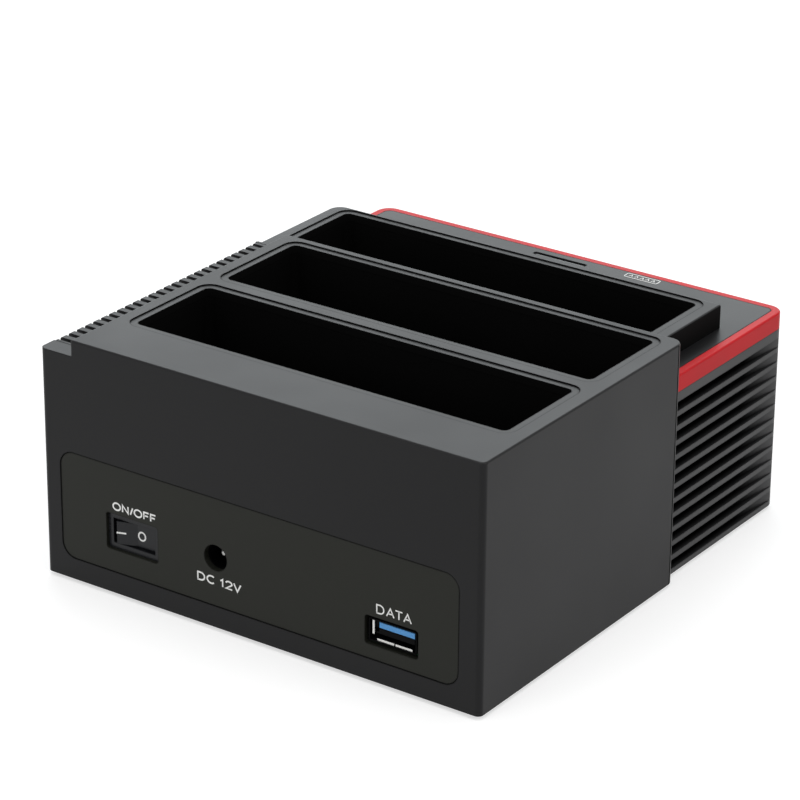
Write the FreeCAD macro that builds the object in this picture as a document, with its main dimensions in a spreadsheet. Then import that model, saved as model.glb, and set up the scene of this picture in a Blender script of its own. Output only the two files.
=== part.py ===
import FreeCAD, Part
import os
import re
import Sketcher

# Three-bay desktop drive duplicator, millimetres, +Z up, front towards -Y.
# Origin: centre of the bounding box in plan, on the surface that the feet stand on.
#
# Places are written as three distances that a case designer would use:
#   across  from the vented flank (+X side) towards the plain flank (-X side)
#   back    from the rear face (+Y side) towards the front
#   up      from the underside of the case, which the feet lift off the table
# All of them are text formulas on the sheet's aliases, so every size stays linked.

doc = FreeCAD.newDocument("drive_duplicator")
sheet = doc.addObject("Spreadsheet::Sheet", "Sizes")

SIZES = {
    # case and front body
    "case_height": 62.0,
    "foot_stand": 1.0,
    "wall": 2.2,
    "deck_thick": 2.4,
    "case_corner": 1.4,
    "front_round": 3.4,
    "edge_round": 0.5,
    "front_inset": 2.4,
    "front_corner": 4.0,
    "console_thick": 2.2,
    # drive bays: a 3.5-inch drive is 101.6 by 26.1
    "bay_length": 104.2,
    "bay_width": 27.8,
    "bay_corner": 1.6,
    "ledge": 1.9,
    "ledge_depth": 0.3,
    "bay_start": 17.4,
    "bay_rib": 3.1,
    "thin_rib": 2.1,
    "deck_left": 3.4,
    "deck_right": 4.1,
    "low_bay_shift": 8.5,
    "liner_wall": 0.9,
    "bay_floor": 13.5,
    "floor_thick": 1.5,
    # lower tier round the third bay, level with the vented strip, and the console below both
    "tier_gap": 0.3,
    "tier_lip": 0.8,
    "tier_side": 3.2,
    "tier_rise": 5.95,
    "console_long": 19.8,
    "strip_width": 9.3,
    "grille_wide": 6.4,
    "strip_drop": 4.0,
    "vent_pitch": 2.98,
    "vent_first": 6.8,
    "vent_slot": 1.3,
    "vent_reach": 5.6,
    "vent_fall": 2.6,
    "grille_skin": 2.0,
    "grille_end": 0.9,
    # ribbed flanks and red rim
    "flank_thick": 6.2,
    "slim_flank": 2.6,
    "front_wall": 3.0,
    "rib_pitch": 3.77,
    "rib_margin": 2.55,
    "rib_foot": 1.3,
    "groove_tall": 2.35,
    "groove_deep": 5.2,
    "slim_groove": 1.7,
    "groove_end": 2.0,
    "rim_tall": 4.3,
    "rim_band": 2.2,
    "rim_thick": 1.4,
    "rim_flange": 1.1,
    # rear port panel
    "panel_left": 5.0,
    "panel_right": 5.9,
    "panel_bottom": 5.4,
    "panel_tall": 27.9,
    "panel_corner": 4.0,
    "panel_thick": 1.6,
    "panel_gap": 0.2,
    "panel_set_back": 0.15,
    "switch_across": 26.3,
    "switch_up": 16.0,
    "switch_wide": 15.4,
    "switch_tall": 9.4,
    "switch_set_back": 1.0,
    "bezel_wide": 1.5,
    "bezel_deep": 1.6,
    "switch_deep": 11.0,
    "rocker_reach": 5.9,
    "rocker_crest": 2.9,
    "rocker_dip": 2.0,
    "rocker_back": 2.6,
    "rocker_gap": 0.3,
    "rocker_tilt": 10.0,
    "trunnion": 0.9,
    "trunnion_long": 0.5,
    "pivot_deep": 2.9,
    "tab_wide": 4.8,
    "tab_long": 3.4,
    "tab_thick": 0.8,
    "dc_across": 51.0,
    "dc_up": 17.9,
    "dc_hole": 3.3,
    "dc_bore": 3.2,
    "dc_pin": 1.05,
    "dc_pin_back": 4.2,
    "dc_body_wide": 9.2,
    "dc_body_deep": 14.0,
    "dc_bore_deep": 11.0,
    "usb_in": 24.2,
    "usb_up": 12.7,
    "usb_wide": 13.1,
    "usb_tall": 5.7,
    "usb_deep": 14.0,
    "usb_sheet": 0.3,
    "usb_mouth": 0.75,
    "usb_start": 0.7,
    "tongue_drop": 0.75,
    "tongue_back": 0.9,
    "heel_deep": 3.0,
    "tongue_wide": 10.8,
    "tongue_thick": 1.8,
    "contact_pitch": 2.5,
    "contact_wide": 1.0,
    "contact_inset": 1.0,
    "leg_wide": 2.0,
    # boards
    "board_top": 8.8,
    "board_thick": 1.6,
    "board_side": 9.2,
    "boss_side": 5.2,
    "screw_radius": 1.25,
    "base_thick": 2.0,
    "foot_radius": 5.0,
    "foot_in": 12.0,
    "foot_tall": 1.6,
    "screw_head": 2.4,
    "screw_head_tall": 1.3,
    "screw_long": 6.5,
    "screw_spare": 0.5,
    "hub_left": 16.0,
    "hub_gap": 3.0,
    "hub_nose": 1.8,
    "lamp_drop": 8.65,
    "lamp_board_wide": 44.0,
    "lamp_board_gap": 2.4,
    "lamp_board_nose": 0.8,
    "button_in": 6.4,
    "window_in": 5.2,
    # drive connectors
    "drive_port_off": 20.7,
    "port_wide": 43.0,
    "port_thick": 8.0,
    "port_in": 3.0,
    "port_proud": 5.5,
    "port_slot": 2.4,
    "port_key": 1.4,
    "port_slot_deep": 6.0,
    "port_end": 3.2,
    "signal_wide": 10.6,
    "power_wide": 20.8,
    "port_bridge": 2.2,
    # components on the boards
    "chip_side": 14.0,
    "bridge_side": 10.0,
    "chip_tall": 1.4,
    "chip_across": 38.0,
    "can_radius": 3.15,
    "can_tall": 8.0,
    "can_back": 9.5,
    "can_pitch": 7.6,
    "coil_side": 7.0,
    "coil_tall": 2.8,
    "coil_pitch": 9.1,
    "crystal_long": 9.8,
    "crystal_wide": 3.5,
    "crystal_tall": 2.2,
    "header_wide": 22.0,
    "header_tall": 2.5,
    "header_reach": 1.8,
    # front console
    "button_flange": 1.0,
    "flange_thick": 0.9,
    "tact_side": 6.0,
    "tact_tall": 3.5,
    "plunger_radius": 1.6,
    "plunger_tall": 0.8,
    "led_side": 2.0,
    "led_tall": 1.2,
    "pipe_side": 1.3,
    "pipe_pitch": 5.0,
    "window_sunk": 0.3,
    "card_off": 25.6,
    "card_wide": 27.0,
    "card_deep": 16.5,
    "card_tall": 3.1,
    "card_slot_wide": 24.6,
    "card_slot_tall": 2.3,
    "card_slot_deep": 14.0,
    "port_one_off": 32.4,
    "port_two_off": 10.4,
    "button_radius": 4.6,
    "button_gap": 0.25,
    "button_proud": 0.9,
    "button_travel": 0.8,
    "window_wide": 15.6,
    "window_long": 1.5,
    "window_across": 59.9,
    "front_panel_wide": 92.0,
    "front_panel_tall": 30.0,
    "front_panel_bottom": 5.0,
    "fit": 0.1,
}

# Sizes that follow from the ones above: the case is as large as its bays need.
FOLLOWS = {
    "case_width": "strip_width + deck_left + 2 * ledge + bay_length + deck_right",
    "bay_centre": "strip_width + deck_left + ledge + bay_length / 2",
    "low_bay_centre": "bay_centre - low_bay_shift",
    "tier_left": "low_bay_centre - bay_length / 2 - ledge - tier_side",
    "tier_right": "low_bay_centre + bay_length / 2 + ledge + tier_side",
    "bay_one_end": "bay_start + bay_width",
    "bay_two_start": "bay_one_end + 2 * ledge + bay_rib",
    "bay_two_end": "bay_two_start + bay_width",
    "case_depth": "bay_two_end + ledge + thin_rib",
    "bay_three_start": "case_depth + tier_gap + ledge",
    "bay_three_end": "bay_three_start + bay_width",
    "tier_front": "bay_three_end + ledge + tier_lip",
    "overall_depth": "tier_front + console_long",
    "strip_top": "case_height - strip_drop",
    "vent_count": "floor((case_depth - grille_end - vent_first - vent_slot) / vent_pitch) + 1",
    "deck_level": "strip_top - tier_rise",
    "rim_low": "deck_level - rim_tall",
    "console_low": "deck_level - console_thick",
    "rib_top": "rim_low - rib_margin",
    "rib_count": "floor((rib_top - groove_tall - rib_foot) / rib_pitch) + 1",
    "board_low": "board_top - board_thick",
    "hub_start": "tier_front + hub_gap",
    "hub_stop": "overall_depth - front_wall - hub_nose",
    "led_top": "deck_level - lamp_drop",
    "usb_across": "case_width - usb_in",
    "port_one_across": "case_width / 2 - port_one_off",
    "port_two_across": "case_width / 2 - port_two_off",
    "card_across": "case_width / 2 + card_off",
    "button_across": "case_width / 2",
    "button_back": "tier_front + button_in",
    "window_back": "overall_depth - window_in",
}

for row, (alias, value) in enumerate(SIZES.items(), start=1):
    cell = "B%d" % row
    sheet.set("A%d" % row, alias)
    sheet.set(cell, str(value))
    sheet.setAlias(cell, alias)
doc.recompute()

WORDS = re.compile(r"[a-z][a-z_]+")
ORIGIN = FreeCAD.Vector(0, 0, 0)
UPRIGHT = FreeCAD.Rotation()
TOWARDS_FRONT = FreeCAD.Rotation(FreeCAD.Vector(1, 0, 0), 90)


def link(formula):
    """Write a formula in the sheet's own aliases."""
    def expand(match):
        word = match.group(0)
        if word in FOLLOWS:
            return "(%s)" % WORDS.sub(expand, FOLLOWS[word])
        return "Sizes." + word if word in SIZES else word
    return WORDS.sub(expand, str(formula))


def number(formula):
    """The present value of a formula."""
    return float(sheet.evalExpression(link(formula)))


def across(u):
    return "(case_width / 2 - (%s))" % u


def back(v):
    return "(overall_depth / 2 - (%s))" % v


def up(w):
    return "(foot_stand + (%s))" % w


# ---------------------------------------------------------------- building helpers

def put(obj, x, y, z, turn=UPRIGHT):
    """Place an object's own origin by three formulas."""
    obj.Placement = FreeCAD.Placement(ORIGIN, turn)
    obj.setExpression("Placement.Base.x", link(x))
    obj.setExpression("Placement.Base.y", link(y))
    obj.setExpression("Placement.Base.z", link(z))
    return obj


def block(name, u, v, w):
    """A box between two distances across, back and up."""
    obj = doc.addObject("Part::Box", name)
    obj.setExpression("Length", link("(%s) - (%s)" % (u[1], u[0])))
    obj.setExpression("Width", link("(%s) - (%s)" % (v[1], v[0])))
    obj.setExpression("Height", link("(%s) - (%s)" % (w[1], w[0])))
    return put(obj, across(u[1]), back(v[1]), up(w[0]))


def post(name, radius, u, v, w):
    """An upright cylinder between two heights."""
    obj = doc.addObject("Part::Cylinder", name)
    obj.setExpression("Radius", link(radius))
    obj.setExpression("Height", link("(%s) - (%s)" % (w[1], w[0])))
    return put(obj, across(u), back(v), up(w[0]))


def rod(name, radius, u, v, w):
    """A cylinder that runs from the rear towards the front."""
    obj = doc.addObject("Part::Cylinder", name)
    obj.setExpression("Radius", link(radius))
    obj.setExpression("Height", link("(%s) - (%s)" % (v[1], v[0])))
    return put(obj, across(u), back(v[0]), up(w), TOWARDS_FRONT)


def join(name, parts):
    obj = doc.addObject("Part::MultiFuse", name)
    obj.Shapes = parts
    obj.Refine = True
    return obj


def cut(name, base, tools):
    """Take one tool, or several together, out of a base."""
    tool = tools[0] if len(tools) == 1 else join(name + "_tools", tools)
    obj = doc.addObject("Part::Cut", name)
    obj.Base = base
    obj.Tool = tool
    obj.Refine = True
    return obj


def group(name, parts):
    """Identical loose solids that share one node."""
    obj = doc.addObject("Part::Compound", name)
    obj.Links = parts
    return obj


def edges_of(obj, wanted):
    """Numbers of the edges that a test picks."""
    doc.recompute()
    return [i for i, edge in enumerate(obj.Shape.Edges, start=1) if wanted(edge)]


def soften(name, base, radius, wanted, kind="Part::Fillet"):
    """Round or chamfer the edges that a test picks."""
    obj = doc.addObject(kind, name)
    picked = edges_of(base, wanted)
    obj.Base = base
    size = number(radius)
    obj.Edges = [(i, size, size) for i in picked]
    return obj


def runs_along(axis):
    """A test for straight edges along one axis."""
    def wanted(edge):
        if not isinstance(edge.Curve, Part.Line):
            return False
        d = edge.tangentAt(edge.FirstParameter)
        return abs(abs((d.x, d.y, d.z)["xyz".index(axis)]) - 1) < 1e-6
    return wanted


def lies_at(axis, formula):
    """A test for edges that lie in one plane across an axis."""
    level = number(formula)

    def wanted(edge):
        box = edge.BoundBox
        low, high = {"x": (box.XMin, box.XMax), "y": (box.YMin, box.YMax), "z": (box.ZMin, box.ZMax)}[axis]
        return abs(low - level) < 1e-4 and abs(high - level) < 1e-4
    return wanted


def both(*tests):
    return lambda edge: all(test(edge) for test in tests)


def rounded(name, u, v, w, radius):
    """A box whose upright edges are rounded."""
    core = block(name + "_core", u, v, w)
    return soften(name, core, radius, runs_along("z"))


def body(name):
    return doc.addObject("PartDesign::Body", name)


def plane(owner, role):
    return [f for f in owner.Origin.OriginFeatures if f.Role == role][0]


def sketch(owner, name, role, lift, loops):
    """A closed outline per loop; each corner is a pair of formulas on a plane."""
    sk = owner.newObject("Sketcher::SketchObject", name)
    sk.AttachmentSupport = (plane(owner, role), [""])
    sk.MapMode = "FlatFace"
    sk.setExpression("AttachmentOffset.Base.z", link(lift))
    mark = 0
    for corners in loops:
        spots = [FreeCAD.Vector(number(a), number(b), 0) for a, b in corners]
        count = len(spots)
        lines = [sk.addGeometry(Part.LineSegment(spots[i], spots[(i + 1) % count]), False)
                 for i in range(count)]
        for i in range(count):
            sk.addConstraint(Sketcher.Constraint("Coincident", lines[i], 2, lines[(i + 1) % count], 1))
        for line, spot, pair in zip(lines, spots, corners):
            for kind, value, formula in (("DistanceX", spot.x, pair[0]), ("DistanceY", spot.y, pair[1])):
                mark += 1
                label = "size_%d" % mark
                at = sk.addConstraint(Sketcher.Constraint(kind, -1, 1, line, 1, value))
                sk.renameConstraint(at, label)
                sk.setExpression("Constraints." + label, link(formula))
    return sk


def pad(owner, name, outline, length, reverse=False):
    feature = owner.newObject("PartDesign::Pad", name)
    feature.Profile = outline
    feature.setExpression("Length", link(length))
    feature.Reversed = reverse
    return feature


def pocket(owner, name, outline, length, reverse=False):
    feature = owner.newObject("PartDesign::Pocket", name)
    feature.Profile = outline
    feature.setExpression("Length", link(length))
    feature.Reversed = reverse
    return feature


def row_of(owner, name, feature, role, pitch, count, reverse=False):
    """Repeat a feature along an origin axis."""
    pattern = owner.newObject("PartDesign::LinearPattern", name)
    pattern.Originals = [feature]
    pattern.Direction = (plane(owner, role), [""])
    pattern.Mode = "Spacing"
    pattern.setExpression("Offset", link(pitch))
    pattern.setExpression("Occurrences", link(count))
    pattern.Reversed = reverse
    owner.Tip = pattern
    return pattern


def dress(owner, name, kind, feature, size, wanted):
    """A fillet or chamfer on a body's edges that a test picks."""
    picked = edges_of(feature, wanted)
    edge_names = ["Edge%d" % i for i in picked]
    made = owner.newObject("PartDesign::" + kind, name)
    made.Base = (feature, edge_names)
    made.setExpression("Radius" if kind == "Fillet" else "Size", link(size))
    owner.Tip = made
    return made


def rectangle(a, b):
    """Corners of a rectangle from two (formula, formula) corners."""
    return [(a[0], a[1]), (b[0], a[1]), (b[0], b[1]), (a[0], b[1])]


def grown(span, by):
    """A span made longer at both ends."""
    return ("%s - (%s)" % (span[0], by), "%s + (%s)" % (span[1], by))


def centred(middle, size, grow="0"):
    """The span of a size about its middle, made longer at both ends."""
    return grown(("%s - (%s) / 2" % (middle, size), "%s + (%s) / 2" % (middle, size)), grow)


# ---------------------------------------------------------------- bays

def bay_span(centre, grow):
    half = "(bay_length / 2 + %s)" % grow
    return ("%s - %s" % (centre, half), "%s + %s" % (centre, half))


BAY_ONE = ("bay_start", "bay_one_end")
BAY_TWO = ("bay_two_start", "bay_two_end")
BAY_THREE = ("bay_three_start", "bay_three_end")
BAYS = (("1", "bay_centre", BAY_ONE, "case_height"), ("2", "bay_centre", BAY_TWO, "case_height"),
        ("3", "low_bay_centre", BAY_THREE, "strip_top"))


def near_any(spots):
    """A test for upright edges that stand on one of several plan points."""
    points = [(number(x), number(y)) for x, y in spots]

    def wanted(edge):
        at = edge.Vertexes[0].Point
        return any(abs(at.x - x) < 1e-3 and abs(at.y - y) < 1e-3 for x, y in points)
    return both(runs_along("z"), wanted)


def rounded_xz(name, u, v, w, radius):
    """A box whose edges along the depth are rounded."""
    core = block(name + "_core", u, v, w)
    return soften(name, core, radius, runs_along("y"))


GRILLE_LOW = "strip_top - grille_skin - vent_fall"
GRILLE_START = "vent_first - vent_pitch / 2"
GRILLE_STOP = "case_depth - grille_end"
BOSS_IN = "wall + screw_head + 0.8"
BOSS_TOP = "bay_floor - floor_thick - 0.5"


def screw_spots():
    """Where the base screws go: two in the case, two in the front body."""
    flank = "front_inset + flank_thick + screw_head + 0.8"
    nose = "overall_depth - front_wall - screw_head - 0.8"
    return [(BOSS_IN, BOSS_IN), ("case_width - (%s)" % BOSS_IN, BOSS_IN),
            (flank, nose), ("case_width - (%s)" % flank, nose)]


def bosses(name, spots, walls):
    """Square screw posts that stand on the base plate, each with a web to its wall and a pilot hole."""
    posts = []
    pilots = []
    for i, ((u, v), wall_middle) in enumerate(zip(spots, walls)):
        height = ("base_thick", BOSS_TOP)
        square = (centred(u, "boss_side"), centred(v, "boss_side"))
        posts.append(block("%s_post_%d" % (name, i), square[0], square[1], height))
        reach = (wall_middle, u) if i == 0 else (u, wall_middle)
        posts.append(block("%s_web_%d" % (name, i), reach, centred(v, "boss_side / 2"), height))
        pilots.append(post("%s_pilot_%d" % (name, i), "screw_radius", u, v,
                           ("base_thick - 1", "screw_long + screw_spare")))
    return posts, pilots


def ahead_of_case(edge):
    """True for the edges of the lower tier that stand clear of the case's front."""
    return edge.BoundBox.YMin < number(back("case_depth")) - 0.1


def rear_housing():
    """Case walls, deck and lower tier in one moulding, with three wells that have a shallow ledge."""
    shell = body("housing_shell")
    low = sketch(shell, "case_outline", "XY_Plane", up("0"),
                 [rectangle((across("0"), back("0")), (across("case_width"), back("case_depth")))])
    pad(shell, "case_block", low, "strip_top")
    left = across("tier_left")
    right = across("tier_right")
    front = back("tier_front")
    tier = sketch(shell, "tier_outline", "XY_Plane", up("deck_level"),
                  [rectangle((left, back("case_depth - wall")), (right, front))])
    pad(shell, "tier_block", tier, "tier_rise")
    inner_edge = across("strip_width")
    high = sketch(shell, "deck_outline", "XY_Plane", up("strip_top"),
                  [rectangle((inner_edge, back("0")), (across("case_width"), back("case_depth")))])
    deck = pad(shell, "deck_block", high, "strip_drop")
    sharp = [(across("0"), back("case_depth")), (right, front),
             (inner_edge, back("0")), (inner_edge, back("case_depth"))]
    tight = [(across("0"), back("0")), (across("case_width"), back("0"))]
    full = [(across("case_width"), back("case_depth")), (left, front)]
    crisp = dress(shell, "sharp_corners", "Fillet", deck, "edge_round", near_any(sharp))
    eased = dress(shell, "tight_corners", "Fillet", crisp, "case_corner", near_any(tight))
    round_front = dress(shell, "full_corners", "Fillet", eased, "front_round", near_any(full))
    topped = dress(shell, "deck_edge", "Fillet", round_front, "edge_round", lies_at("z", up("case_height")))
    tier_rim = both(lies_at("z", up("strip_top")), ahead_of_case)
    dress(shell, "tier_edge", "Fillet", topped, "edge_round", tier_rim)
    inside = [
        block("case_hollow", ("wall", "case_width - wall"), ("wall", "case_depth"),
              ("-1", "strip_top - deck_thick")),
        block("deck_hollow", ("strip_width + wall", "case_width - wall"), ("wall", "case_depth - wall"),
              ("strip_top - deck_thick - 1", "case_height - deck_thick")),
        block("tier_hollow", ("tier_left + wall", "tier_right - wall"),
              ("case_depth - wall - 1", "tier_front - tier_lip"),
              ("deck_level - 1", "strip_top - deck_thick")),
    ]
    wells = []
    for tag, centre, span, top in BAYS:
        wells.append(rounded("well_mouth_" + tag, bay_span(centre, "ledge"), grown(span, "ledge"),
                             ("%s - ledge_depth" % top, "%s + 1" % top), "bay_corner + ledge"))
        wells.append(rounded("well_throat_" + tag, bay_span(centre, "0"), span,
                             ("deck_level - 1", "%s + 1" % top), "bay_corner"))
    seat = rounded_xz("panel_seat", ("panel_left", "case_width - panel_right"),
                      ("-1", "panel_thick + panel_set_back"),
                      ("panel_bottom", "panel_bottom + panel_tall"), "panel_corner")
    way = rounded_xz("panel_way", ("panel_left + wall", "case_width - panel_right - wall"),
                     ("-1", "wall + 1"),
                     ("panel_bottom + wall", "panel_bottom + panel_tall - wall"), "panel_corner - wall / 2")
    grille_way = block("grille_way", ("-1", "grille_wide + fit"),
                       ("%s - fit" % GRILLE_START, "%s + fit" % GRILLE_STOP),
                       ("%s - fit" % GRILLE_LOW, "case_height + 1"))
    hollow = cut("housing_hollow", shell, inside + wells + [seat, way, grille_way])
    posts, pilots = bosses("case_boss", screw_spots()[:2], ("wall / 2", "case_width - wall / 2"))
    return cut("rear_housing", join("housing_with_bosses", [hollow] + posts), pilots)


def vent_grille():
    """Comb-slotted strip: each slot is open at the outer edge and runs down the flank."""
    comb = body("vent_grille")
    profile = sketch(comb, "grille_profile", "XZ_Plane", "-(%s)" % back(GRILLE_START), [[
        (across("0"), up(GRILLE_LOW)),
        (across("0"), up("strip_top")),
        (across("grille_wide"), up("strip_top")),
        (across("grille_wide"), up("strip_top - grille_skin")),
        (across("grille_skin"), up("strip_top - grille_skin")),
        (across("grille_skin"), up(GRILLE_LOW)),
    ]])
    bar = pad(comb, "grille_bar", profile, "%s - (%s)" % (GRILLE_STOP, GRILLE_START))
    eased = dress(comb, "grille_edge", "Fillet", bar, "edge_round",
                  both(lies_at("x", across("0")), lies_at("z", up("strip_top"))))
    slot_outline = sketch(comb, "slot_outline", "XZ_Plane", "-(%s)" % back("vent_first - vent_slot / 2"), [
        rectangle((across("-1"), up("strip_top - grille_skin - vent_fall / 2")),
                  (across("vent_reach"), up("strip_top + 1")))])
    slot = pocket(comb, "vent_slot_cut", slot_outline, "vent_slot", reverse=True)
    row_of(comb, "vent_slots", slot, "Y_Axis", "vent_pitch", "vent_count", reverse=True)
    return comb


def bay_liner(tag, centre, span, top):
    """Dark tub under one well: four walls and a floor with a way for its connector."""
    outer = rounded("liner_outer_" + tag, bay_span(centre, "liner_wall"), grown(span, "liner_wall"),
                    ("bay_floor - floor_thick", "%s - deck_thick" % top), "bay_corner + liner_wall")
    inner = rounded("liner_inner_" + tag, bay_span(centre, "0"), span, ("bay_floor", top), "bay_corner")
    slot_u, slot_v = connector_place(centre, span)
    way = block("liner_way_" + tag, grown(slot_u, "fit * 2"), grown(slot_v, "fit * 2"),
                ("bay_floor - floor_thick - 1", "bay_floor + 1"))
    return cut("bay_liner_" + tag, outer, [inner, way])


def connector_place(centre, span):
    """Span of a bay's connector, off centre as on a 3.5-inch drive."""
    middle = "(%s + drive_port_off)" % centre
    return (("%s - port_wide / 2" % middle, "%s + port_wide / 2" % middle),
            ("%s + port_in" % span[0], "%s + port_in + port_thick" % span[0]))


def sata_connector(tag, centre, span):
    """Upright receptacle with its short signal slot and long power slot, both L-shaped."""
    u, v = connector_place(centre, span)
    top = "bay_floor + port_proud"
    shell = block("port_block_" + tag, u, v, ("board_top", top))
    depth = ("%s - port_slot_deep" % top, "%s + 1" % top)
    mid = "(%s + port_in + port_thick / 2)" % span[0]
    slots = []
    for word, start, wide in (("signal", "port_end", "signal_wide"),
                              ("power", "port_end + signal_wide + port_bridge", "power_wide")):
        first = "%s + %s" % (u[0], start)
        last = "%s + %s" % (first, wide)
        slots.append(block("slot_%s_%s" % (word, tag), (first, last), centred(mid, "port_slot"), depth))
        slots.append(block("key_%s_%s" % (word, tag), ("%s - port_slot" % last, last),
                           (mid, "%s + port_slot / 2 + port_key" % mid), depth))
    return cut("sata_connector_" + tag, shell, slots)


# ---------------------------------------------------------------- rear panel and its fittings

PANEL_BACK = "panel_set_back + panel_thick"
PANEL_U = ("panel_left + panel_gap", "case_width - panel_right - panel_gap")
PANEL_W = ("panel_bottom + panel_gap", "panel_bottom + panel_tall - panel_gap")


def port_panel():
    """Plate that closes the back, pierced for the switch, the inlet and the socket."""
    plate = body("panel_plate")
    outline = sketch(plate, "panel_outline", "XZ_Plane", "-(%s)" % back(PANEL_BACK), [
        rectangle((across(PANEL_U[0]), up(PANEL_W[0])), (across(PANEL_U[1]), up(PANEL_W[1])))])
    slab = pad(plate, "panel_slab", outline, "panel_thick", reverse=True)
    dress(plate, "panel_corners", "Fillet", slab, "panel_corner - panel_gap", runs_along("y"))
    switch_way = rounded_xz("switch_way", centred("switch_across", "switch_wide"), ("-1", "wall + 1"),
                            centred("switch_up", "switch_tall"), "bezel_wide / 2")
    dc_way = rod("dc_way", "dc_hole", "dc_across", ("-1", "wall + 1"), "dc_up")
    usb_way = rounded_xz("usb_way", centred("usb_across", "usb_wide", "usb_mouth"), ("-1", "wall + 1"),
                         centred("usb_up", "usb_tall", "usb_mouth"), "usb_mouth")
    return cut("port_panel", plate, [switch_way, dc_way, usb_way])


ROCKER_TALL = "switch_tall - 2 * bezel_wide - 2 * rocker_gap"
PIVOT_BACK = "switch_set_back + pivot_deep"


def switch_body():
    """Bezel that fills the panel's window, with the deep body behind it and a pocket for the paddle."""
    bezel = rounded_xz("switch_bezel", centred("switch_across", "switch_wide", "-fit"),
                       ("switch_set_back", "switch_set_back + bezel_deep"),
                       centred("switch_up", "switch_tall", "-fit"), "bezel_wide / 2 - fit")
    deep = block("switch_case", centred("switch_across", "switch_wide - bezel_wide"),
                 ("switch_set_back + bezel_deep / 2", "switch_set_back + switch_deep"),
                 centred("switch_up", "switch_tall - bezel_wide"))
    pocket_box = block("switch_pocket", centred("switch_across", "2 * rocker_reach", "rocker_gap"),
                       ("-1", "%s + rocker_back + 2 * rocker_gap" % PIVOT_BACK),
                       centred("switch_up", "switch_tall - 2 * bezel_wide"))
    journal = post("switch_journal", "trunnion + fit", "switch_across", PIVOT_BACK,
                   centred("switch_up", ROCKER_TALL, "trunnion_long + rocker_gap"))
    return cut("switch_body", join("switch_solid", [bezel, deep]), [pocket_box, journal])


def power_rocker():
    """Paddle with a dipped face, drawn level about its pivot and set down with its off end pressed."""
    blank = body("rocker_blank")
    reach = "rocker_reach"
    outline = sketch(blank, "rocker_outline", "XY_Plane", "-(%s) / 2" % ROCKER_TALL, [[
        ("-%s" % reach, "rocker_crest"), ("0", "rocker_dip"), (reach, "rocker_crest"),
        (reach, "0"), ("%s / 3" % reach, "-rocker_back"), ("-%s / 3" % reach, "-rocker_back"),
        ("-%s" % reach, "0")]])
    pad(blank, "rocker_bar", outline, ROCKER_TALL)
    sweep = doc.addObject("Part::Cylinder", "rocker_sweep")
    sweep.setExpression("Radius", link(reach))
    sweep.setExpression("Height", link(ROCKER_TALL))
    sweep.setExpression("Placement.Base.z", link("-(%s) / 2" % ROCKER_TALL))
    pin = doc.addObject("Part::Cylinder", "rocker_pin")
    pin.setExpression("Radius", link("trunnion"))
    pin.setExpression("Height", link("%s + 2 * trunnion_long" % ROCKER_TALL))
    pin.setExpression("Placement.Base.z", link("-(%s) / 2 - trunnion_long" % ROCKER_TALL))
    trimmed = doc.addObject("Part::Common", "rocker_trimmed")
    trimmed.Base = blank
    trimmed.Tool = sweep
    paddle = join("power_rocker", [trimmed, pin])
    put(paddle, across("switch_across"), back(PIVOT_BACK), up("switch_up"),
        FreeCAD.Rotation(FreeCAD.Vector(0, 0, 1), number("rocker_tilt")))
    return paddle


def switch_tabs():
    """Two blade terminals at the back of the switch."""
    tabs = [block("switch_tab_%d" % i, centred("(switch_across + %d * tab_wide)" % side, "tab_thick"),
                  ("switch_set_back + switch_deep", "switch_set_back + switch_deep + tab_long"),
                  centred("switch_up", "tab_wide")) for i, side in enumerate((-1, 1))]
    return group("switch_tabs", tabs)


def dc_jack_body():
    """Barrel jack: a moulded block on the board with a deep round bore."""
    block_body = block("dc_block", centred("dc_across", "dc_body_wide"),
                       (PANEL_BACK, "%s + dc_body_deep" % PANEL_BACK),
                       ("board_top", "dc_up + dc_body_wide / 2"))
    bore = rod("dc_bore_cut", "dc_bore", "dc_across", ("0", "%s + dc_bore_deep" % PANEL_BACK), "dc_up")
    eased = soften("dc_block_round", block_body, "wall", both(
        runs_along("y"), lies_at("z", up("dc_up + dc_body_wide / 2"))))
    return cut("dc_jack_body", eased, [bore])


def dc_jack_pin():
    """Centre pin with a chamfered tip, rooted in the jack's back wall."""
    stem = rod("dc_stem", "dc_pin", "dc_across", ("dc_pin_back", "%s + dc_bore_deep" % PANEL_BACK), "dc_up")
    return soften("dc_jack_pin", stem, "dc_pin * 0.5", lies_at("y", back("dc_pin_back")), "Part::Chamfer")


def usb_frame(name, centre_u, centre_w, v, opens_front):
    """Pressed shell of a type-A socket, open at its mouth."""
    outer = rounded_xz(name + "_outer", centred(centre_u, "usb_wide"), v, centred(centre_w, "usb_tall"),
                       "usb_sheet * 1.5")
    if opens_front:
        hollow_v = ("%s + usb_sheet" % v[0], "%s + 1" % v[1])
    else:
        hollow_v = ("%s - 1" % v[0], "%s - usb_sheet" % v[1])
    inner = block(name + "_inner", centred(centre_u, "usb_wide", "-usb_sheet"), hollow_v,
                  centred(centre_w, "usb_tall", "-usb_sheet"))
    return cut(name, outer, [inner])


def tongue(name, centre_u, centre_w, v, v_heel):
    """Plastic tongue that stands from a heel at the back of the socket."""
    top = "%s + usb_tall / 2 - usb_sheet - tongue_drop" % centre_w
    blade = block(name + "_blade", centred(centre_u, "tongue_wide"), v, ("%s - tongue_thick" % top, top))
    heel = block(name + "_heel", centred(centre_u, "usb_wide", "-usb_sheet - fit"), v_heel,
                 centred(centre_w, "usb_tall", "-usb_sheet - fit"))
    return join(name, [blade, heel])


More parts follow.
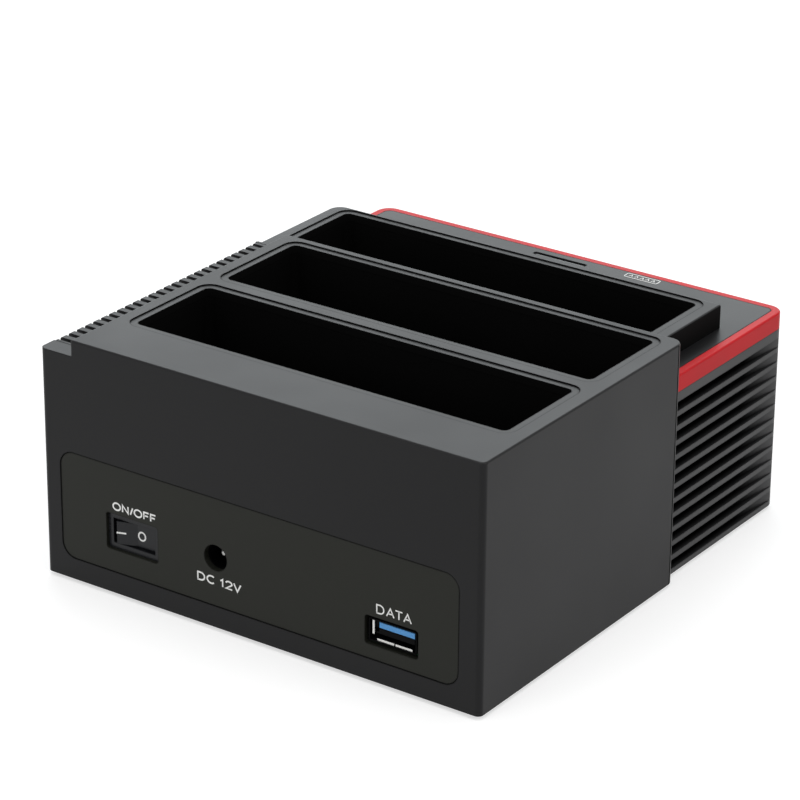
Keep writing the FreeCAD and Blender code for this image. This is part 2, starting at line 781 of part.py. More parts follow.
def socket(name, centre_u, v, opens_front):
    """Shell with two legs down to its board, the tongue, and four contact strips."""
    start, stop = v
    frame = usb_frame(name + "_frame", centre_u, "usb_up", v, opens_front)
    if opens_front:
        blade = ("%s + usb_sheet + fit" % start, "%s - tongue_back" % stop)
        heel = ("%s + usb_sheet + fit" % start, "%s + heel_deep" % start)
        strip = ("%s + heel_deep + fit" % start, "%s - tongue_back - contact_inset" % stop)
    else:
        blade = ("%s + tongue_back" % start, "%s - usb_sheet - fit" % stop)
        heel = ("%s - heel_deep" % stop, "%s - usb_sheet - fit" % stop)
        strip = ("%s + tongue_back + contact_inset" % start, "%s - heel_deep - fit" % stop)
    tip = tongue(name + "_tongue", centre_u, "usb_up", blade, heel)
    under = "usb_up + usb_tall / 2 - usb_sheet - tongue_drop - tongue_thick"
    strips = [block("%s_contact_%d" % (name, i),
                    centred("(%s + (%s) * contact_pitch)" % (centre_u, i - 1.5), "contact_wide"),
                    strip, ("%s - usb_sheet" % under, under)) for i in range(4)]
    middle = "(%s + %s) / 2" % (start, stop)
    legs = [block("%s_leg_%d" % (name, i),
                  centred("(%s + %d * (usb_wide - usb_sheet) / 2)" % (centre_u, side), "usb_sheet"),
                  centred(middle, "leg_wide"), ("board_top", "usb_up - usb_tall / 4"))
            for i, side in enumerate((-1, 1))]
    return join(name + "_shell", [frame] + legs), tip, strips


# ---------------------------------------------------------------- base, feet and screws

SLIM_SIDE = "front_inset + slim_flank"
THICK_SIDE = "front_inset + flank_thick"


def base_plate():
    """Bottom plate that fits inside the case walls and between the front flanks."""
    plate = body("base_plate_blank")
    side = "wall + panel_gap"
    slim = across("%s + panel_gap" % SLIM_SIDE)
    thick = across("case_width - (%s + panel_gap)" % THICK_SIDE)
    shoulder = "case_depth - panel_gap"
    nose = "overall_depth - front_wall - panel_gap"
    outline = sketch(plate, "base_outline", "XY_Plane", up("0"), [[
        (across(side), back(side)),
        (across(side), back(shoulder)),
        (slim, back(shoulder)),
        (slim, back(nose)),
        (thick, back(nose)),
        (thick, back(shoulder)),
        (across("case_width - (%s)" % side), back(shoulder)),
        (across("case_width - (%s)" % side), back(side))]])
    pad(plate, "base_slab", outline, "base_thick")
    sinks = [post("foot_seat_%d" % i, "foot_radius + fit", u, v, ("-1", "foot_tall - foot_stand"))
             for i, (u, v) in enumerate(foot_spots())]
    holes = []
    for i, (u, v) in enumerate(screw_spots()):
        holes.append(post("base_hole_%d" % i, "screw_radius + fit * 2", u, v, ("-1", "base_thick + 1")))
        holes.append(post("head_seat_%d" % i, "screw_head + fit * 2", u, v, ("-1", "screw_head_tall")))
    stands = [block("board_stand_%d" % i, centred(u, "boss_side"), centred(v, "boss_side"),
                    ("base_thick / 2", "board_low")) for i, (u, v) in enumerate(stand_spots())]
    pilots = [post("stand_pilot_%d" % i, "screw_radius", u, v, ("base_thick", "board_low + 1"))
              for i, (u, v) in enumerate(screwed_stands())]
    solid = join("base_with_stands", [plate] + stands)
    return cut("base_plate", solid, sinks + holes + pilots)


def foot_spots():
    near, far = "foot_in + foot_radius", "overall_depth - foot_in"
    left, right = "foot_in + foot_radius", "case_width - foot_in - foot_radius"
    return [(left, near), (right, near), (left, far), (right, far)]


def stand_spots():
    """Stands for the boards: four under the main board, then two under the front one."""
    left, right = "board_side + 3.5", "case_width - board_side - 3.5"
    return [(left, "7.5"), (right, "tier_front - 6"), (right, "7.5"), (left, "tier_front - 6"),
            ("hub_left + 4", "hub_stop - 4"), ("case_width - hub_left - 4", "hub_stop - 4")]


def screwed_stands():
    """The stands that take a screw: two diagonal ones under the main board and both under the front one."""
    return stand_spots()[:2] + stand_spots()[4:]


def rubber_feet():
    """Four round pads with a chamfered rim, sunk in the base."""
    pads = []
    for i, (u, v) in enumerate(foot_spots()):
        disc = post("foot_disc_%d" % i, "foot_radius", u, v, ("-foot_stand", "foot_tall - foot_stand"))
        pads.append(soften("foot_%d" % i, disc, "foot_stand / 2", lies_at("z", "0"), "Part::Chamfer"))
    return group("rubber_feet", pads)


def screws(name, spots, head_low, rises):
    """Pan-head screws; the shank points up from the head if rises is set, and down otherwise."""
    made = []
    for i, (u, v) in enumerate(spots):
        head_high = "%s + screw_head_tall" % head_low
        middle = "%s + screw_head_tall / 2" % head_low
        if rises:
            shank_span = (middle, "%s + screw_long" % head_low)
        else:
            shank_span = ("%s - screw_long" % head_high, middle)
        head = post("%s_head_%d" % (name, i), "screw_head", u, v, (head_low, head_high))
        shank = post("%s_shank_%d" % (name, i), "screw_radius - fit / 2", u, v, shank_span)
        made.append(join("%s_%d" % (name, i), [head, shank]))
    return group(name, made)


# ---------------------------------------------------------------- front body

def u_outline(side, nose, far_side=None):
    """Corners of a plan outline that is open to the rear, with equal insets unless the far one is given."""
    far = "case_width - (%s)" % (far_side or side)
    return [(across(side), back("case_depth")), (across(side), back(nose)),
            (across(far), back(nose)), (across(far), back("case_depth"))]


def ring_outline(side, nose, inside):
    """A band between an outside inset and an inside outline, down both flanks and along the front."""
    return u_outline(side, nose) + inside[::-1]


def front_shell():
    """A slim and a thick flank and a front wall, with tapering cooling grooves down each flank."""
    shell = body("front_body")
    inside = u_outline(SLIM_SIDE, "overall_depth - front_wall", THICK_SIDE)
    plan = sketch(shell, "front_plan", "XY_Plane", up("0"), [
        ring_outline("front_inset", "overall_depth", inside)])
    pad(shell, "front_walls", plan, "rim_low")
    lip_side = "front_inset + rim_thick + fit"
    lip_nose = "overall_depth - rim_thick - fit"
    lip_plan = sketch(shell, "lip_plan", "XY_Plane", up("rim_low - 1"), [
        ring_outline(lip_side, lip_nose, inside)])
    lip = pad(shell, "lip", lip_plan, "1 + rim_tall - console_thick - fit")
    outer = u_outline("front_inset", "overall_depth")[1:3]
    round_outer = dress(shell, "front_corners", "Fillet", lip, "front_corner", near_any(outer))
    inner = u_outline(lip_side, lip_nose)[1:3]
    dress(shell, "lip_corners", "Fillet", round_outer, "front_corner - rim_thick", near_any(inner))
    lowest = "rib_top - (rib_count - 1) * rib_pitch - groove_tall"
    wedges = []
    flanks = (("slim_groove", lambda inset: across(inset)),
              ("groove_deep", lambda inset: across("case_width - (%s)" % inset)))
    for depth, at in flanks:
        wedges.append([
            (at("front_inset - 1"), back("case_depth - 1")),
            (at("front_inset + %s" % depth), back("case_depth - 1")),
            (at("front_inset + %s" % depth), back("case_depth")),
            (at("front_inset"), back("overall_depth - groove_end")),
            (at("front_inset - 1"), back("overall_depth - groove_end"))])
    wedge = sketch(shell, "groove_plan", "XY_Plane", up(lowest), wedges)
    groove = pocket(shell, "groove", wedge, "groove_tall", reverse=True)
    row_of(shell, "grooves", groove, "Z_Axis", "rib_pitch", "rib_count")
    panel_u = centred("case_width / 2", "front_panel_wide")
    panel_w = ("front_panel_bottom", "front_panel_bottom + front_panel_tall")
    beyond = "overall_depth + 1"
    seat = rounded_xz("front_seat", panel_u, ("overall_depth - panel_thick - panel_set_back", beyond),
                      panel_w, "panel_corner / 2")
    way = rounded_xz("front_way", grown(panel_u, "-wall"), ("overall_depth - front_wall - 1", beyond),
                     grown(panel_w, "-wall"), "panel_corner / 2")
    hollow = cut("front_hollow", shell, [seat, way])
    posts, pilots = bosses("front_boss", screw_spots()[2:],
                           ("front_inset + slim_flank / 2", "case_width - front_inset - flank_thick / 2"))
    return cut("front_shell", join("front_with_bosses", [hollow] + posts), pilots)


def red_trim():
    """Rim of L section: a tall outer face with a narrow flange over the console's edge."""
    trim = body("red_trim")
    inside = u_outline("front_inset + rim_band", "overall_depth - rim_band")
    plan = sketch(trim, "rim_plan", "XY_Plane", up("rim_low"), [
        ring_outline("front_inset", "overall_depth", inside)])
    band = pad(trim, "rim_bar", plan, "rim_tall")
    outer = u_outline("front_inset", "overall_depth")[1:3]
    inner = inside[1:3]
    soft_outer = dress(trim, "rim_outer_corners", "Fillet", band, "front_corner", near_any(outer))
    dress(trim, "rim_inner_corners", "Fillet", soft_outer, "front_corner - rim_band", near_any(inner))
    step_plan = sketch(trim, "step_plan", "XY_Plane", up("rim_low"), [
        ring_outline("front_inset + rim_thick", "overall_depth - rim_thick",
                     u_outline("front_inset + rim_band + 1", "overall_depth - rim_band - 1"))])
    step = pocket(trim, "rim_step", step_plan, "rim_tall - rim_flange", reverse=True)
    step_corners = u_outline("front_inset + rim_thick", "overall_depth - rim_thick")[1:3]
    eased = dress(trim, "step_corners", "Fillet", step, "front_corner - rim_thick", near_any(step_corners))
    dress(trim, "rim_edge", "Fillet", eased, "edge_round", rim_outer_edge)
    return trim


def rim_outer_edge(edge):
    """The top outer edge of the rim, corners included."""
    if not lies_at("z", up("deck_level"))(edge):
        return False
    middle = edge.valueAt((edge.FirstParameter + edge.LastParameter) / 2)
    half_width = number("case_width / 2 - front_inset")
    nose = number("-overall_depth / 2")
    reach = number("rim_band") / 2
    near_corner = number("front_corner") * 0.3
    if isinstance(edge.Curve, Part.Line):
        on_flank = abs(abs(middle.x) - half_width) < reach * 0.5
        on_nose = abs(middle.y - nose) < reach * 0.5
        return (on_flank and runs_along("y")(edge)) or (on_nose and runs_along("x")(edge))
    return half_width - abs(middle.x) < near_corner and middle.y - nose < near_corner


def front_deck():
    """Console plate inside the rim, pierced for bay three, the button and the lamp window."""
    side = "front_inset + rim_band + fit"
    nose = "overall_depth - rim_band - fit"
    plate_core = block("console_core", (side, "case_width - (%s)" % side), ("case_depth + fit", nose),
                       ("console_low", "deck_level"))
    corners = u_outline(side, nose)[1:3]
    plate = soften("console_plate", plate_core, "front_corner - rim_band - fit", near_any(corners))
    through = ("console_low - 1", "deck_level + 1")
    bay_way = rounded("bay_way", bay_span("low_bay_centre", "(liner_wall + fit)"),
                      grown(BAY_THREE, "liner_wall + fit"), through, "bay_corner + liner_wall + fit")
    button_way = post("button_way", "button_radius + button_gap", "button_across", "button_back", through)
    window_way = rounded("window_way", centred("window_across", "window_wide"),
                         centred("window_back", "window_long"), through, "window_long * 0.4")
    screw_end = "led_top - board_thick - screw_head_tall + screw_long"
    hangers = []
    pilots = []
    for i, (u, v) in enumerate(hanger_spots()):
        hangers.append(block("hanger_%d" % i, centred("(%s)" % u, "boss_side"), centred(v, "boss_side"),
                             ("led_top", "console_low + 1")))
        pilots.append(post("hanger_pilot_%d" % i, "screw_radius", u, v,
                           ("led_top - 1", "%s + screw_spare" % screw_end)))
    solid = join("console_solid", [plate] + hangers)
    return cut("front_deck", solid, [bay_way, button_way, window_way] + pilots)


def hanger_spots():
    reach = "lamp_board_wide / 2 - boss_side / 2 - 0.5"
    return [("button_across - (%s)" % reach, "button_back"), ("button_across + %s" % reach, "button_back")]


def indicator_window():
    """Dark lens that fills the lamp slit, a little below the console."""
    return rounded("indicator_window", centred("window_across", "window_wide", "-fit"),
                   centred("window_back", "window_long", "-fit"),
                   ("console_low", "deck_level - window_sunk"), "window_long * 0.4 - fit")


def lamp_places():
    return [("window_across + (%d) * pipe_pitch" % i, "window_back") for i in (-1, 0, 1)]


def light_pipes():
    """Short clear guides from the lamps up to the window."""
    height = ("led_top + led_tall + fit", "console_low - fit / 2")
    return group("light_pipes", [
        block("light_pipe_%d" % i, centred("(%s)" % u, "pipe_side"), centred(v, "pipe_side"), height)
        for i, (u, v) in enumerate(lamp_places())])


def status_leds():
    """Three flat lamps in a row under the window."""
    height = ("led_top", "led_top + led_tall")
    return group("status_leds", [
        block("status_led_%d" % i, centred("(%s)" % u, "led_side"), centred(v, "led_side * 0.6"), height)
        for i, (u, v) in enumerate(lamp_places())])


def button_board():
    """Small board under the console for the button's switch and the lamps."""
    plate = block("button_plate", centred("button_across", "lamp_board_wide"),
                  ("tier_front + lamp_board_gap", "overall_depth - front_wall - lamp_board_nose"),
                  ("led_top - board_thick", "led_top"))
    holes = [post("button_board_hole_%d" % i, "screw_radius + fit * 2", u, v,
                  ("led_top - board_thick - 1", "led_top + 1")) for i, (u, v) in enumerate(hanger_spots())]
    return cut("button_board", plate, holes)


def button_board_screws():
    """Screws that hold the small board up against the console's hangers."""
    return screws("button_board_screws", hanger_spots(), "led_top - board_thick - screw_head_tall", True)


def tact_switch():
    case = block("tact_case", centred("button_across", "tact_side"), centred("button_back", "tact_side"),
                 ("led_top", "led_top + tact_tall"))
    plunger = post("tact_plunger", "plunger_radius", "button_across", "button_back",
                   ("led_top + tact_tall - 1", "led_top + tact_tall + plunger_tall"))
    return join("tact_switch", [case, plunger])


def backup_button():
    """Round push button: chamfered cap, retaining flange under the console, short stem."""
    button = body("backup_button")
    top = up("deck_level + button_proud")
    flange_high = up("console_low - fit")
    flange_low = up("console_low - fit - flange_thick")
    foot = up("led_top + tact_tall + plunger_tall + button_travel + fit")
    profile = sketch(button, "button_profile", "XZ_Plane", "0", [[
        ("0", foot), ("plunger_radius + 1", foot), ("plunger_radius + 1", flange_low),
        ("button_radius + button_flange", flange_low), ("button_radius + button_flange", flange_high),
        ("button_radius", flange_high), ("button_radius", top), ("0", top)]])
    turn = button.newObject("PartDesign::Revolution", "button_turned")
    turn.Profile = profile
    turn.ReferenceAxis = (plane(button, "Z_Axis"), [""])
    turn.Angle = 360
    dress(button, "button_rim", "Chamfer", turn, "button_proud * 0.5", lies_at("z", top))
    button.setExpression("Placement.Base.x", link(across("button_across")))
    button.setExpression("Placement.Base.y", link(back("button_back")))
    return button


CARD_MIDDLE = "(board_top + card_tall / 2)"


def front_panel():
    """Plate set in the front wall, pierced for two sockets and a card slot."""
    face = "overall_depth - panel_set_back"
    through = ("%s - panel_thick - 1" % face, "overall_depth + 1")
    height = grown(("front_panel_bottom", "front_panel_bottom + front_panel_tall"), "-panel_gap")
    plate = rounded_xz("front_plate", centred("case_width / 2", "front_panel_wide", "-panel_gap"),
                       ("%s - panel_thick" % face, face), height, "panel_corner / 2 - panel_gap")
    ways = [rounded_xz("port_way_%d" % i, centred(u, "usb_wide", "usb_mouth"), through,
                       centred("usb_up", "usb_tall", "usb_mouth"), "usb_mouth")
            for i, u in enumerate(("port_one_across", "port_two_across"))]
    card = block("card_way", centred("card_across", "card_slot_wide", "usb_mouth"), through,
                 centred(CARD_MIDDLE, "card_slot_tall", "fit"))
    return cut("front_panel", plate, ways + [card])


def card_slot():
    """Flat card reader on the front board, open to the front."""
    stop = "overall_depth - panel_set_back - panel_thick - fit"
    housing = block("card_box", centred("card_across", "card_wide"), ("%s - card_deep" % stop, stop),
                    ("board_top", "board_top + card_tall"))
    slot = block("card_gap", centred("card_across", "card_slot_wide"),
                 ("%s - card_slot_deep" % stop, "overall_depth"), centred(CARD_MIDDLE, "card_slot_tall"))
    return cut("card_slot", housing, [slot])


# ---------------------------------------------------------------- boards and what stands on them

def main_board():
    plate = block("main_plate", ("board_side", "case_width - board_side"), ("wall + 1", "tier_front - fit"),
                  ("board_low", "board_top"))
    holes = [post("main_hole_%d" % i, "screw_radius + fit * 2", u, v, ("board_low - 1", "board_top + 1"))
             for i, (u, v) in enumerate(screwed_stands()[:2])]
    return cut("main_board", plate, holes)


def hub_board():
    plate = block("hub_plate", ("hub_left", "case_width - hub_left"), ("hub_start", "hub_stop"),
                  ("board_low", "board_top"))
    holes = [post("hub_hole_%d" % i, "screw_radius + fit * 2", u, v, ("board_low - 1", "board_top + 1"))
             for i, (u, v) in enumerate(screwed_stands()[2:])]
    return cut("hub_board", plate, holes)


def board_header():
    """Flat connector that joins the two boards."""
    core = block("header_core", centred("case_width / 2", "header_wide"),
                 ("tier_front - header_reach", "hub_start + header_reach"),
                 ("board_top", "board_top + header_tall"))
    return soften("board_header", core, "edge_round", lies_at("z", up("board_top + header_tall")),
                  "Part::Chamfer")


def flat_chip(name, u, v, side):
    """Flat package with a chamfered top."""
    core = block(name + "_core", centred(u, side), centred(v, side), ("board_top", "board_top + chip_tall"))
    return soften(name, core, "edge_round / 2", lies_at("z", up("board_top + chip_tall")), "Part::Chamfer")


def middle_of(span):
    return "((%s + %s) / 2)" % span


def chips():
    main = flat_chip("controller_chip", "chip_across", middle_of(BAY_ONE), "chip_side")
    bridges = [flat_chip("bridge_chip_%d" % i, "chip_across", middle_of(span), "bridge_side")
               for i, span in enumerate((BAY_TWO, BAY_THREE))]
    return [main, group("bridge_chips", bridges)]


def capacitors():
    """Upright cans in the row behind the rear panel."""
    return group("capacitors", [
        post("can_%d" % i, "can_radius", "dc_across + dc_body_wide + (%d) * can_pitch" % i, "can_back",
             ("board_top", "board_top + can_tall")) for i in range(3)])


def inductors():
    """Two square power coils beside the bridge chip."""
    return group("inductors", [
        block("coil_%d" % i, centred("(chip_across + chip_side + (%d) * coil_pitch)" % i, "coil_side"),
              centred(middle_of(BAY_TWO), "coil_side"), ("board_top", "board_top + coil_tall"))
        for i in range(2)])


def crystal():
    """Small metal can with rounded ends."""
    can = block("crystal_core", centred("chip_across", "crystal_long"),
                centred("(%s + chip_side)" % middle_of(BAY_ONE), "crystal_wide"),
                ("board_top", "board_top + crystal_tall"))
    return soften("crystal", can, "crystal_wide * 0.45", runs_along("z"))


# ---------------------------------------------------------------- assembly

def build():
    """Every sub-part, in the order in which the dock goes together."""
    parts = [rear_housing(), vent_grille(), port_panel(), switch_body(), power_rocker(), switch_tabs(),
             dc_jack_body(), dc_jack_pin()]
    usb_v = ("usb_start", "usb_start + usb_deep")
    shell, tip, strips = socket("usb", "usb_across", usb_v, False)
    parts += [shell, tip, group("usb_contacts", strips)]
    for tag, centre, span, top in BAYS:
        parts += [bay_liner(tag, centre, span, top), sata_connector(tag, centre, span)]
    parts += [front_shell(), red_trim(), front_deck(), indicator_window(), light_pipes(), status_leds(),
              button_board(), button_board_screws(), tact_switch(), backup_button(), front_panel()]
    port_v = ("overall_depth - usb_start - usb_deep", "overall_depth - usb_start")
    port_strips = []
    for tag, u in (("1", "port_one_across"), ("2", "port_two_across")):
        shell, tip, strips = socket("hub_port_" + tag, u, port_v, True)
        parts += [shell, tip]
        port_strips += strips
    parts += [group("hub_port_contacts", port_strips), card_slot(), hub_board(), main_board()]
    parts += chips() + [board_header(), capacitors(), inductors(), crystal()]
    parts += [base_plate(), rubber_feet(), screws("base_screws", screw_spots(), "0", True),
              screws("board_screws", screwed_stands(), "board_top", False)]
    return parts


def check(parts):
    """Stop if any object failed or any sub-part has no sound solid."""
    doc.recompute()
    for obj in doc.Objects:
        if "Invalid" in obj.State or "Error" in obj.State:
            raise RuntimeError("%s did not build: %s" % (obj.Label, obj.State))
    for part in parts:
        if part.Shape.isNull() or not part.Shape.isValid() or not part.Shape.Solids:
            raise RuntimeError("%s has no sound solid" % part.Label)


def export(parts):
    os.makedirs("parts", exist_ok=True)
    for part in parts:
        part.Shape.exportStep("parts/%s.step" % part.Label)
        box = part.Shape.BoundBox
        print("%-22s solids %2d  x %7.2f %7.2f  y %7.2f %7.2f  z %6.2f %6.2f" % (
            part.Label, len(part.Shape.Solids), box.XMin, box.XMax, box.YMin, box.YMax, box.ZMin, box.ZMax))


PARTS = build()
check(PARTS)
export(PARTS)
print("%d sub-parts" % len(PARTS))
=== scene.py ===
# %% [markdown]
# # Finishing a desktop drive duplicator
#
# The object is a small black dock. In use, bare drives stand in its three deep
# bays. A red rim runs round the lower front body, and a port panel closes the
# back. Its rigid pieces come from the CAD model, already in place and in metres. This
# lesson gives every one of them a finish and adds what the CAD model leaves
# out: printing, contacts, socket lips, felt and screw recesses. Each new piece
# is placed from the CAD piece that carries it, so it follows if that one moves.

import math

import bmesh
import bpy
from mathutils import Matrix, Quaternion, Vector


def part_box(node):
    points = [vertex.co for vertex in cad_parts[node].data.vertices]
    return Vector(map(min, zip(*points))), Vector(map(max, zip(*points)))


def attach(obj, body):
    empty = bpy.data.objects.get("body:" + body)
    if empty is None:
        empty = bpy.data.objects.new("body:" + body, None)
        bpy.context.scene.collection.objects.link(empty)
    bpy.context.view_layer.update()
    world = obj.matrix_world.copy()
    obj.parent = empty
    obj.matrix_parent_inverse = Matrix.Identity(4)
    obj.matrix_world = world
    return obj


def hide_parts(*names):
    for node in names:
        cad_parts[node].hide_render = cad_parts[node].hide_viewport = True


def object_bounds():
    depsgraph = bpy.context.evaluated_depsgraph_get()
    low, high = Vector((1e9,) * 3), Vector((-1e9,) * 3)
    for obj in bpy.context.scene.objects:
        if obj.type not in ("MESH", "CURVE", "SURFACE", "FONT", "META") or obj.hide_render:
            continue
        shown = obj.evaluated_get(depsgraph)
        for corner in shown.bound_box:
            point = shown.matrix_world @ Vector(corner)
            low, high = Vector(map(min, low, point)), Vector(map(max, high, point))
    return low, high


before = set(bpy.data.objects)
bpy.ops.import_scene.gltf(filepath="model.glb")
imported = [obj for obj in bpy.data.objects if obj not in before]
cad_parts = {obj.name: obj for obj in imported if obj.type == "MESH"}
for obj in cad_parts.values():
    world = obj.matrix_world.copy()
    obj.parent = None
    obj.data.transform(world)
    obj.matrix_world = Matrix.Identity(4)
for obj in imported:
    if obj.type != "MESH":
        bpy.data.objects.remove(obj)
dock_low, dock_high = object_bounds()
MM = 0.001
print("pieces from CAD:", len(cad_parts))
print("dock size in mm:", [round(side / MM, 1) for side in dock_high - dock_low])

# %% [markdown]
# ## Writing shaders as arithmetic
#
# A procedural finish is a small calculation: noise times a strength, plus a
# base value, and so on. Node by node that is hard to read. The `Wire` class
# below stands for one output of a node. Because it overloads `+`, `-`, `*` and
# `abs`, a line such as `0.4 + 0.1 * grain` adds the Math nodes by itself.

# %% A wire that can be used in arithmetic
class Wire:
    """One output socket, ready for ordinary arithmetic on numbers."""

    def __init__(self, nodes, socket):
        self.nodes = nodes
        self.socket = socket

    def maths(self, operation, first, second=0.0):
        return self.nodes.node("Math", {"operation": operation}, {0: first, 1: second})

    def __add__(self, other):
        return self.maths("ADD", self, other)

    def __mul__(self, other):
        return self.maths("MULTIPLY", self, other)

    def __sub__(self, other):
        return self.maths("SUBTRACT", self, other)

    def __rsub__(self, other):
        return self.maths("SUBTRACT", other, self)

    def __abs__(self):
        return self.maths("ABSOLUTE", self)

    def least(self, other):
        """Whichever of the two is less."""
        return self.maths("MINIMUM", self, other)

    __radd__ = __add__
    __rmul__ = __mul__


print("operators:", [name for name in vars(Wire) if name.startswith("__r")])

# %% [markdown]
# The `Nodes` class is a set of nodes, of a material or of the world. Its
# `node` method makes any node: it takes the type, the settings, and the values
# or wires of the sockets.

# %% A set of nodes
class Nodes:
    """The nodes of one material or of the world."""

    def __init__(self, tree):
        self.tree = tree

    def node(self, kind, settings, sockets, output=0):
        """Make a node: its settings first, then its sockets, and hand back one output."""
        made = self.tree.nodes.new("ShaderNode" + kind)
        for name, value in settings.items():
            setattr(made, name, value)
        for socket, value in sockets.items():
            if isinstance(value, Wire):
                self.tree.links.new(value.socket, made.inputs[socket])
            else:
                made.inputs[socket].default_value = value
        return Wire(self, made.outputs[output])

    def link(self, wire, node_name, socket):
        """Lead a wire to a node that is there from the start."""
        self.tree.links.new(wire.socket, self.tree.nodes[node_name].inputs[socket])

    def studio_rays(self):
        """1 for rays that show the studio: seen directly, mirrored, or through clear things."""
        seen = self.node("LightPath", {}, {}, "Is Camera Ray")
        mirrored = self.node("LightPath", {}, {}, "Is Glossy Ray")
        through = self.node("LightPath", {}, {}, "Is Transmission Ray")
        return seen + mirrored + through


print("a set of nodes can:", [name for name in vars(Nodes) if not name.startswith("_")])

# %% [markdown]
# `Finish` is one material. It measures in millimetres, which suits a grain
# better than metres do. Its methods are the steps that several finishes share:
# noise, a mix of two colours, bump, a mask of the edges, and a fade to black.

# %% A finish
NEAR_BLACK = (0.002, 0.002, 0.002, 1.0)
FLAT_MATCH = 0.99
EDGE_MATCH = 0.85


class Finish(Nodes):
    """A material round one Principled shader; constants go straight on its sockets."""

    def __init__(self, name, constants):
        self.material = bpy.data.materials.new(name)
        self.material.use_nodes = True
        super().__init__(self.material.node_tree)
        self.shader = self.tree.nodes["Principled BSDF"]
        for socket, value in constants.items():
            self.shader.inputs[socket].default_value = value

    def feed(self, socket, wire):
        self.link(wire, "Principled BSDF", socket)

    def join_shader(self, kind, sockets):
        """Combine the Principled shader, as socket 1, with another, and show the result."""
        both = self.node(kind, {}, {1: Wire(self, self.shader.outputs[0]), **sockets})
        self.link(both, "Material Output", "Surface")

    def spot(self):
        """Where a point lies on the piece, in millimetres."""
        place = self.node("TexCoord", {}, {}, "Object")
        return self.node("VectorMath", {"operation": "SCALE"}, {0: place, "Scale": 1 / MM})

    def place(self, axis):
        """How far along the X, Y or Z axis a point lies, in millimetres."""
        return self.node("SeparateXYZ", {}, {0: self.spot()}, axis)

    def noise(self, size, detail=2.0):
        """Soft noise whose lumps are about `size` millimetres across."""
        return self.node("TexNoise", {}, {"Vector": self.spot(), "Scale": 1 / size, "Detail": detail})

    def span(self, wire, low, high, start=0.0, end=1.0):
        """Turn the part of a wire from low to high into start to end."""
        return self.node("MapRange", {}, {0: wire, 1: low, 2: high, 3: start, 4: end})

    def spread(self, noise, start=0.0, end=1.0, reach=0.2):
        """Noise gathers round a half: turn that middle part into start to end."""
        return self.span(noise, 0.5 - reach, 0.5 + reach, start, end)

    def blend(self, factor, first, second):
        """Mix two colours."""
        return self.node("Mix", {"data_type": "RGBA"}, {0: factor, 6: first, 7: second}, 2)

    def bump(self, height, depth, strength):
        """Raise and sink the surface by up to `depth` millimetres."""
        sockets = {"Height": height, "Distance": depth * MM, "Strength": strength}
        return self.node("Bump", {}, sockets)

    def edges(self, radius):
        """1 on edges, 0 on faces: how far a rounded normal turns from the true one."""
        rounded = self.node("Bevel", {"samples": 4}, {"Radius": radius * MM})
        flat = self.node("NewGeometry", {}, {}, "Normal")
        match = self.node("VectorMath", {"operation": "DOT_PRODUCT"}, {0: rounded, 1: flat}, "Value")
        return self.span(match, FLAT_MATCH, EDGE_MATCH)

    def darken(self, factor):
        """Fade the shader into a plain near-black one where the factor is 1."""
        black = self.node("BsdfDiffuse", {}, {"Color": NEAR_BLACK})
        self.join_shader("MixShader", {0: factor, 2: black})


print("a finish can:", [name for name in vars(Finish) if not name.startswith("_")])

# %% [markdown]
# ## Colours
#
# A shader wants linear light, while colours are easier to choose on the 0 to
# 255 scale of a screen. `rgb` changes one into the other, so that a finish can
# be read and corrected against a colour chart.

# %% Screen colours and their shades
def rgb(red, green, blue):
    """A screen colour from 0 to 255 as the linear colour that a shader wants."""
    def linear(value):
        part = value / 255
        return part / 12.92 if part <= 0.04045 else ((part + 0.055) / 1.055) ** 2.4
    return (linear(red), linear(green), linear(blue), 1.0)


def shade(colour, factor):
    """The same colour, lighter or darker."""
    return tuple(min(1.0, part * factor) for part in colour[:3]) + (1.0,)


print("a mid grey in linear light:", round(rgb(128, 128, 128)[0], 3))

# %% [markdown]
# ## Moulded plastic
#
# The case is black moulded plastic with a satin surface. Moulds for such cases
# are often spark-eroded, which leaves a very fine grain, well under a
# millimetre, and moulded plastic often has wide, faint changes of gloss. Both
# are noise here. A thin dark line runs along the dock's edges, most plainly
# round the deck, where the rounded edges reflect something dark. The finish
# paints that in as a painted dark reflection: it makes the edges darker and
# duller. What causes it isn't known, so the finish simply makes the edges
# darker and duller. Strips of geometry could do that, but a Bevel node needs
# none: it gives a rounded normal near an edge, and how far that turns from the
# true normal is a mask of the edges.

# %% The moulded plastic finish
PLASTIC_IOR = 1.5
GLOSS_CLOUDS = 28.0
EDGE_RADIUS = 0.5


def moulded(name, colour, rough, grain, specular, painted_edge_tone):
    """Fine-grained plastic whose edges are darker (a painted dark reflection) and duller than its faces.
    """
    made = Finish(name, {"Specular IOR Level": specular, "IOR": PLASTIC_IOR})
    fine = made.noise(grain, 3.0)
    wide = made.noise(GLOSS_CLOUDS)
    edge = made.edges(EDGE_RADIUS)
    body = made.blend(made.spread(wide), shade(colour, 0.93), shade(colour, 1.07))
    grained = made.blend(made.spread(fine, reach=0.15), shade(colour, 0.9), body)
    # The darker colour on the edges is a painted dark reflection.
    made.feed("Base Color", made.blend(edge, grained, shade(colour, painted_edge_tone)))
    cloudy = made.spread(wide, rough - 0.03, rough + 0.03)
    made.feed("Roughness", cloudy + 0.06 * fine + 0.4 * edge)
    made.feed("Normal", made.bump(fine, 0.012, 0.8))
    return made
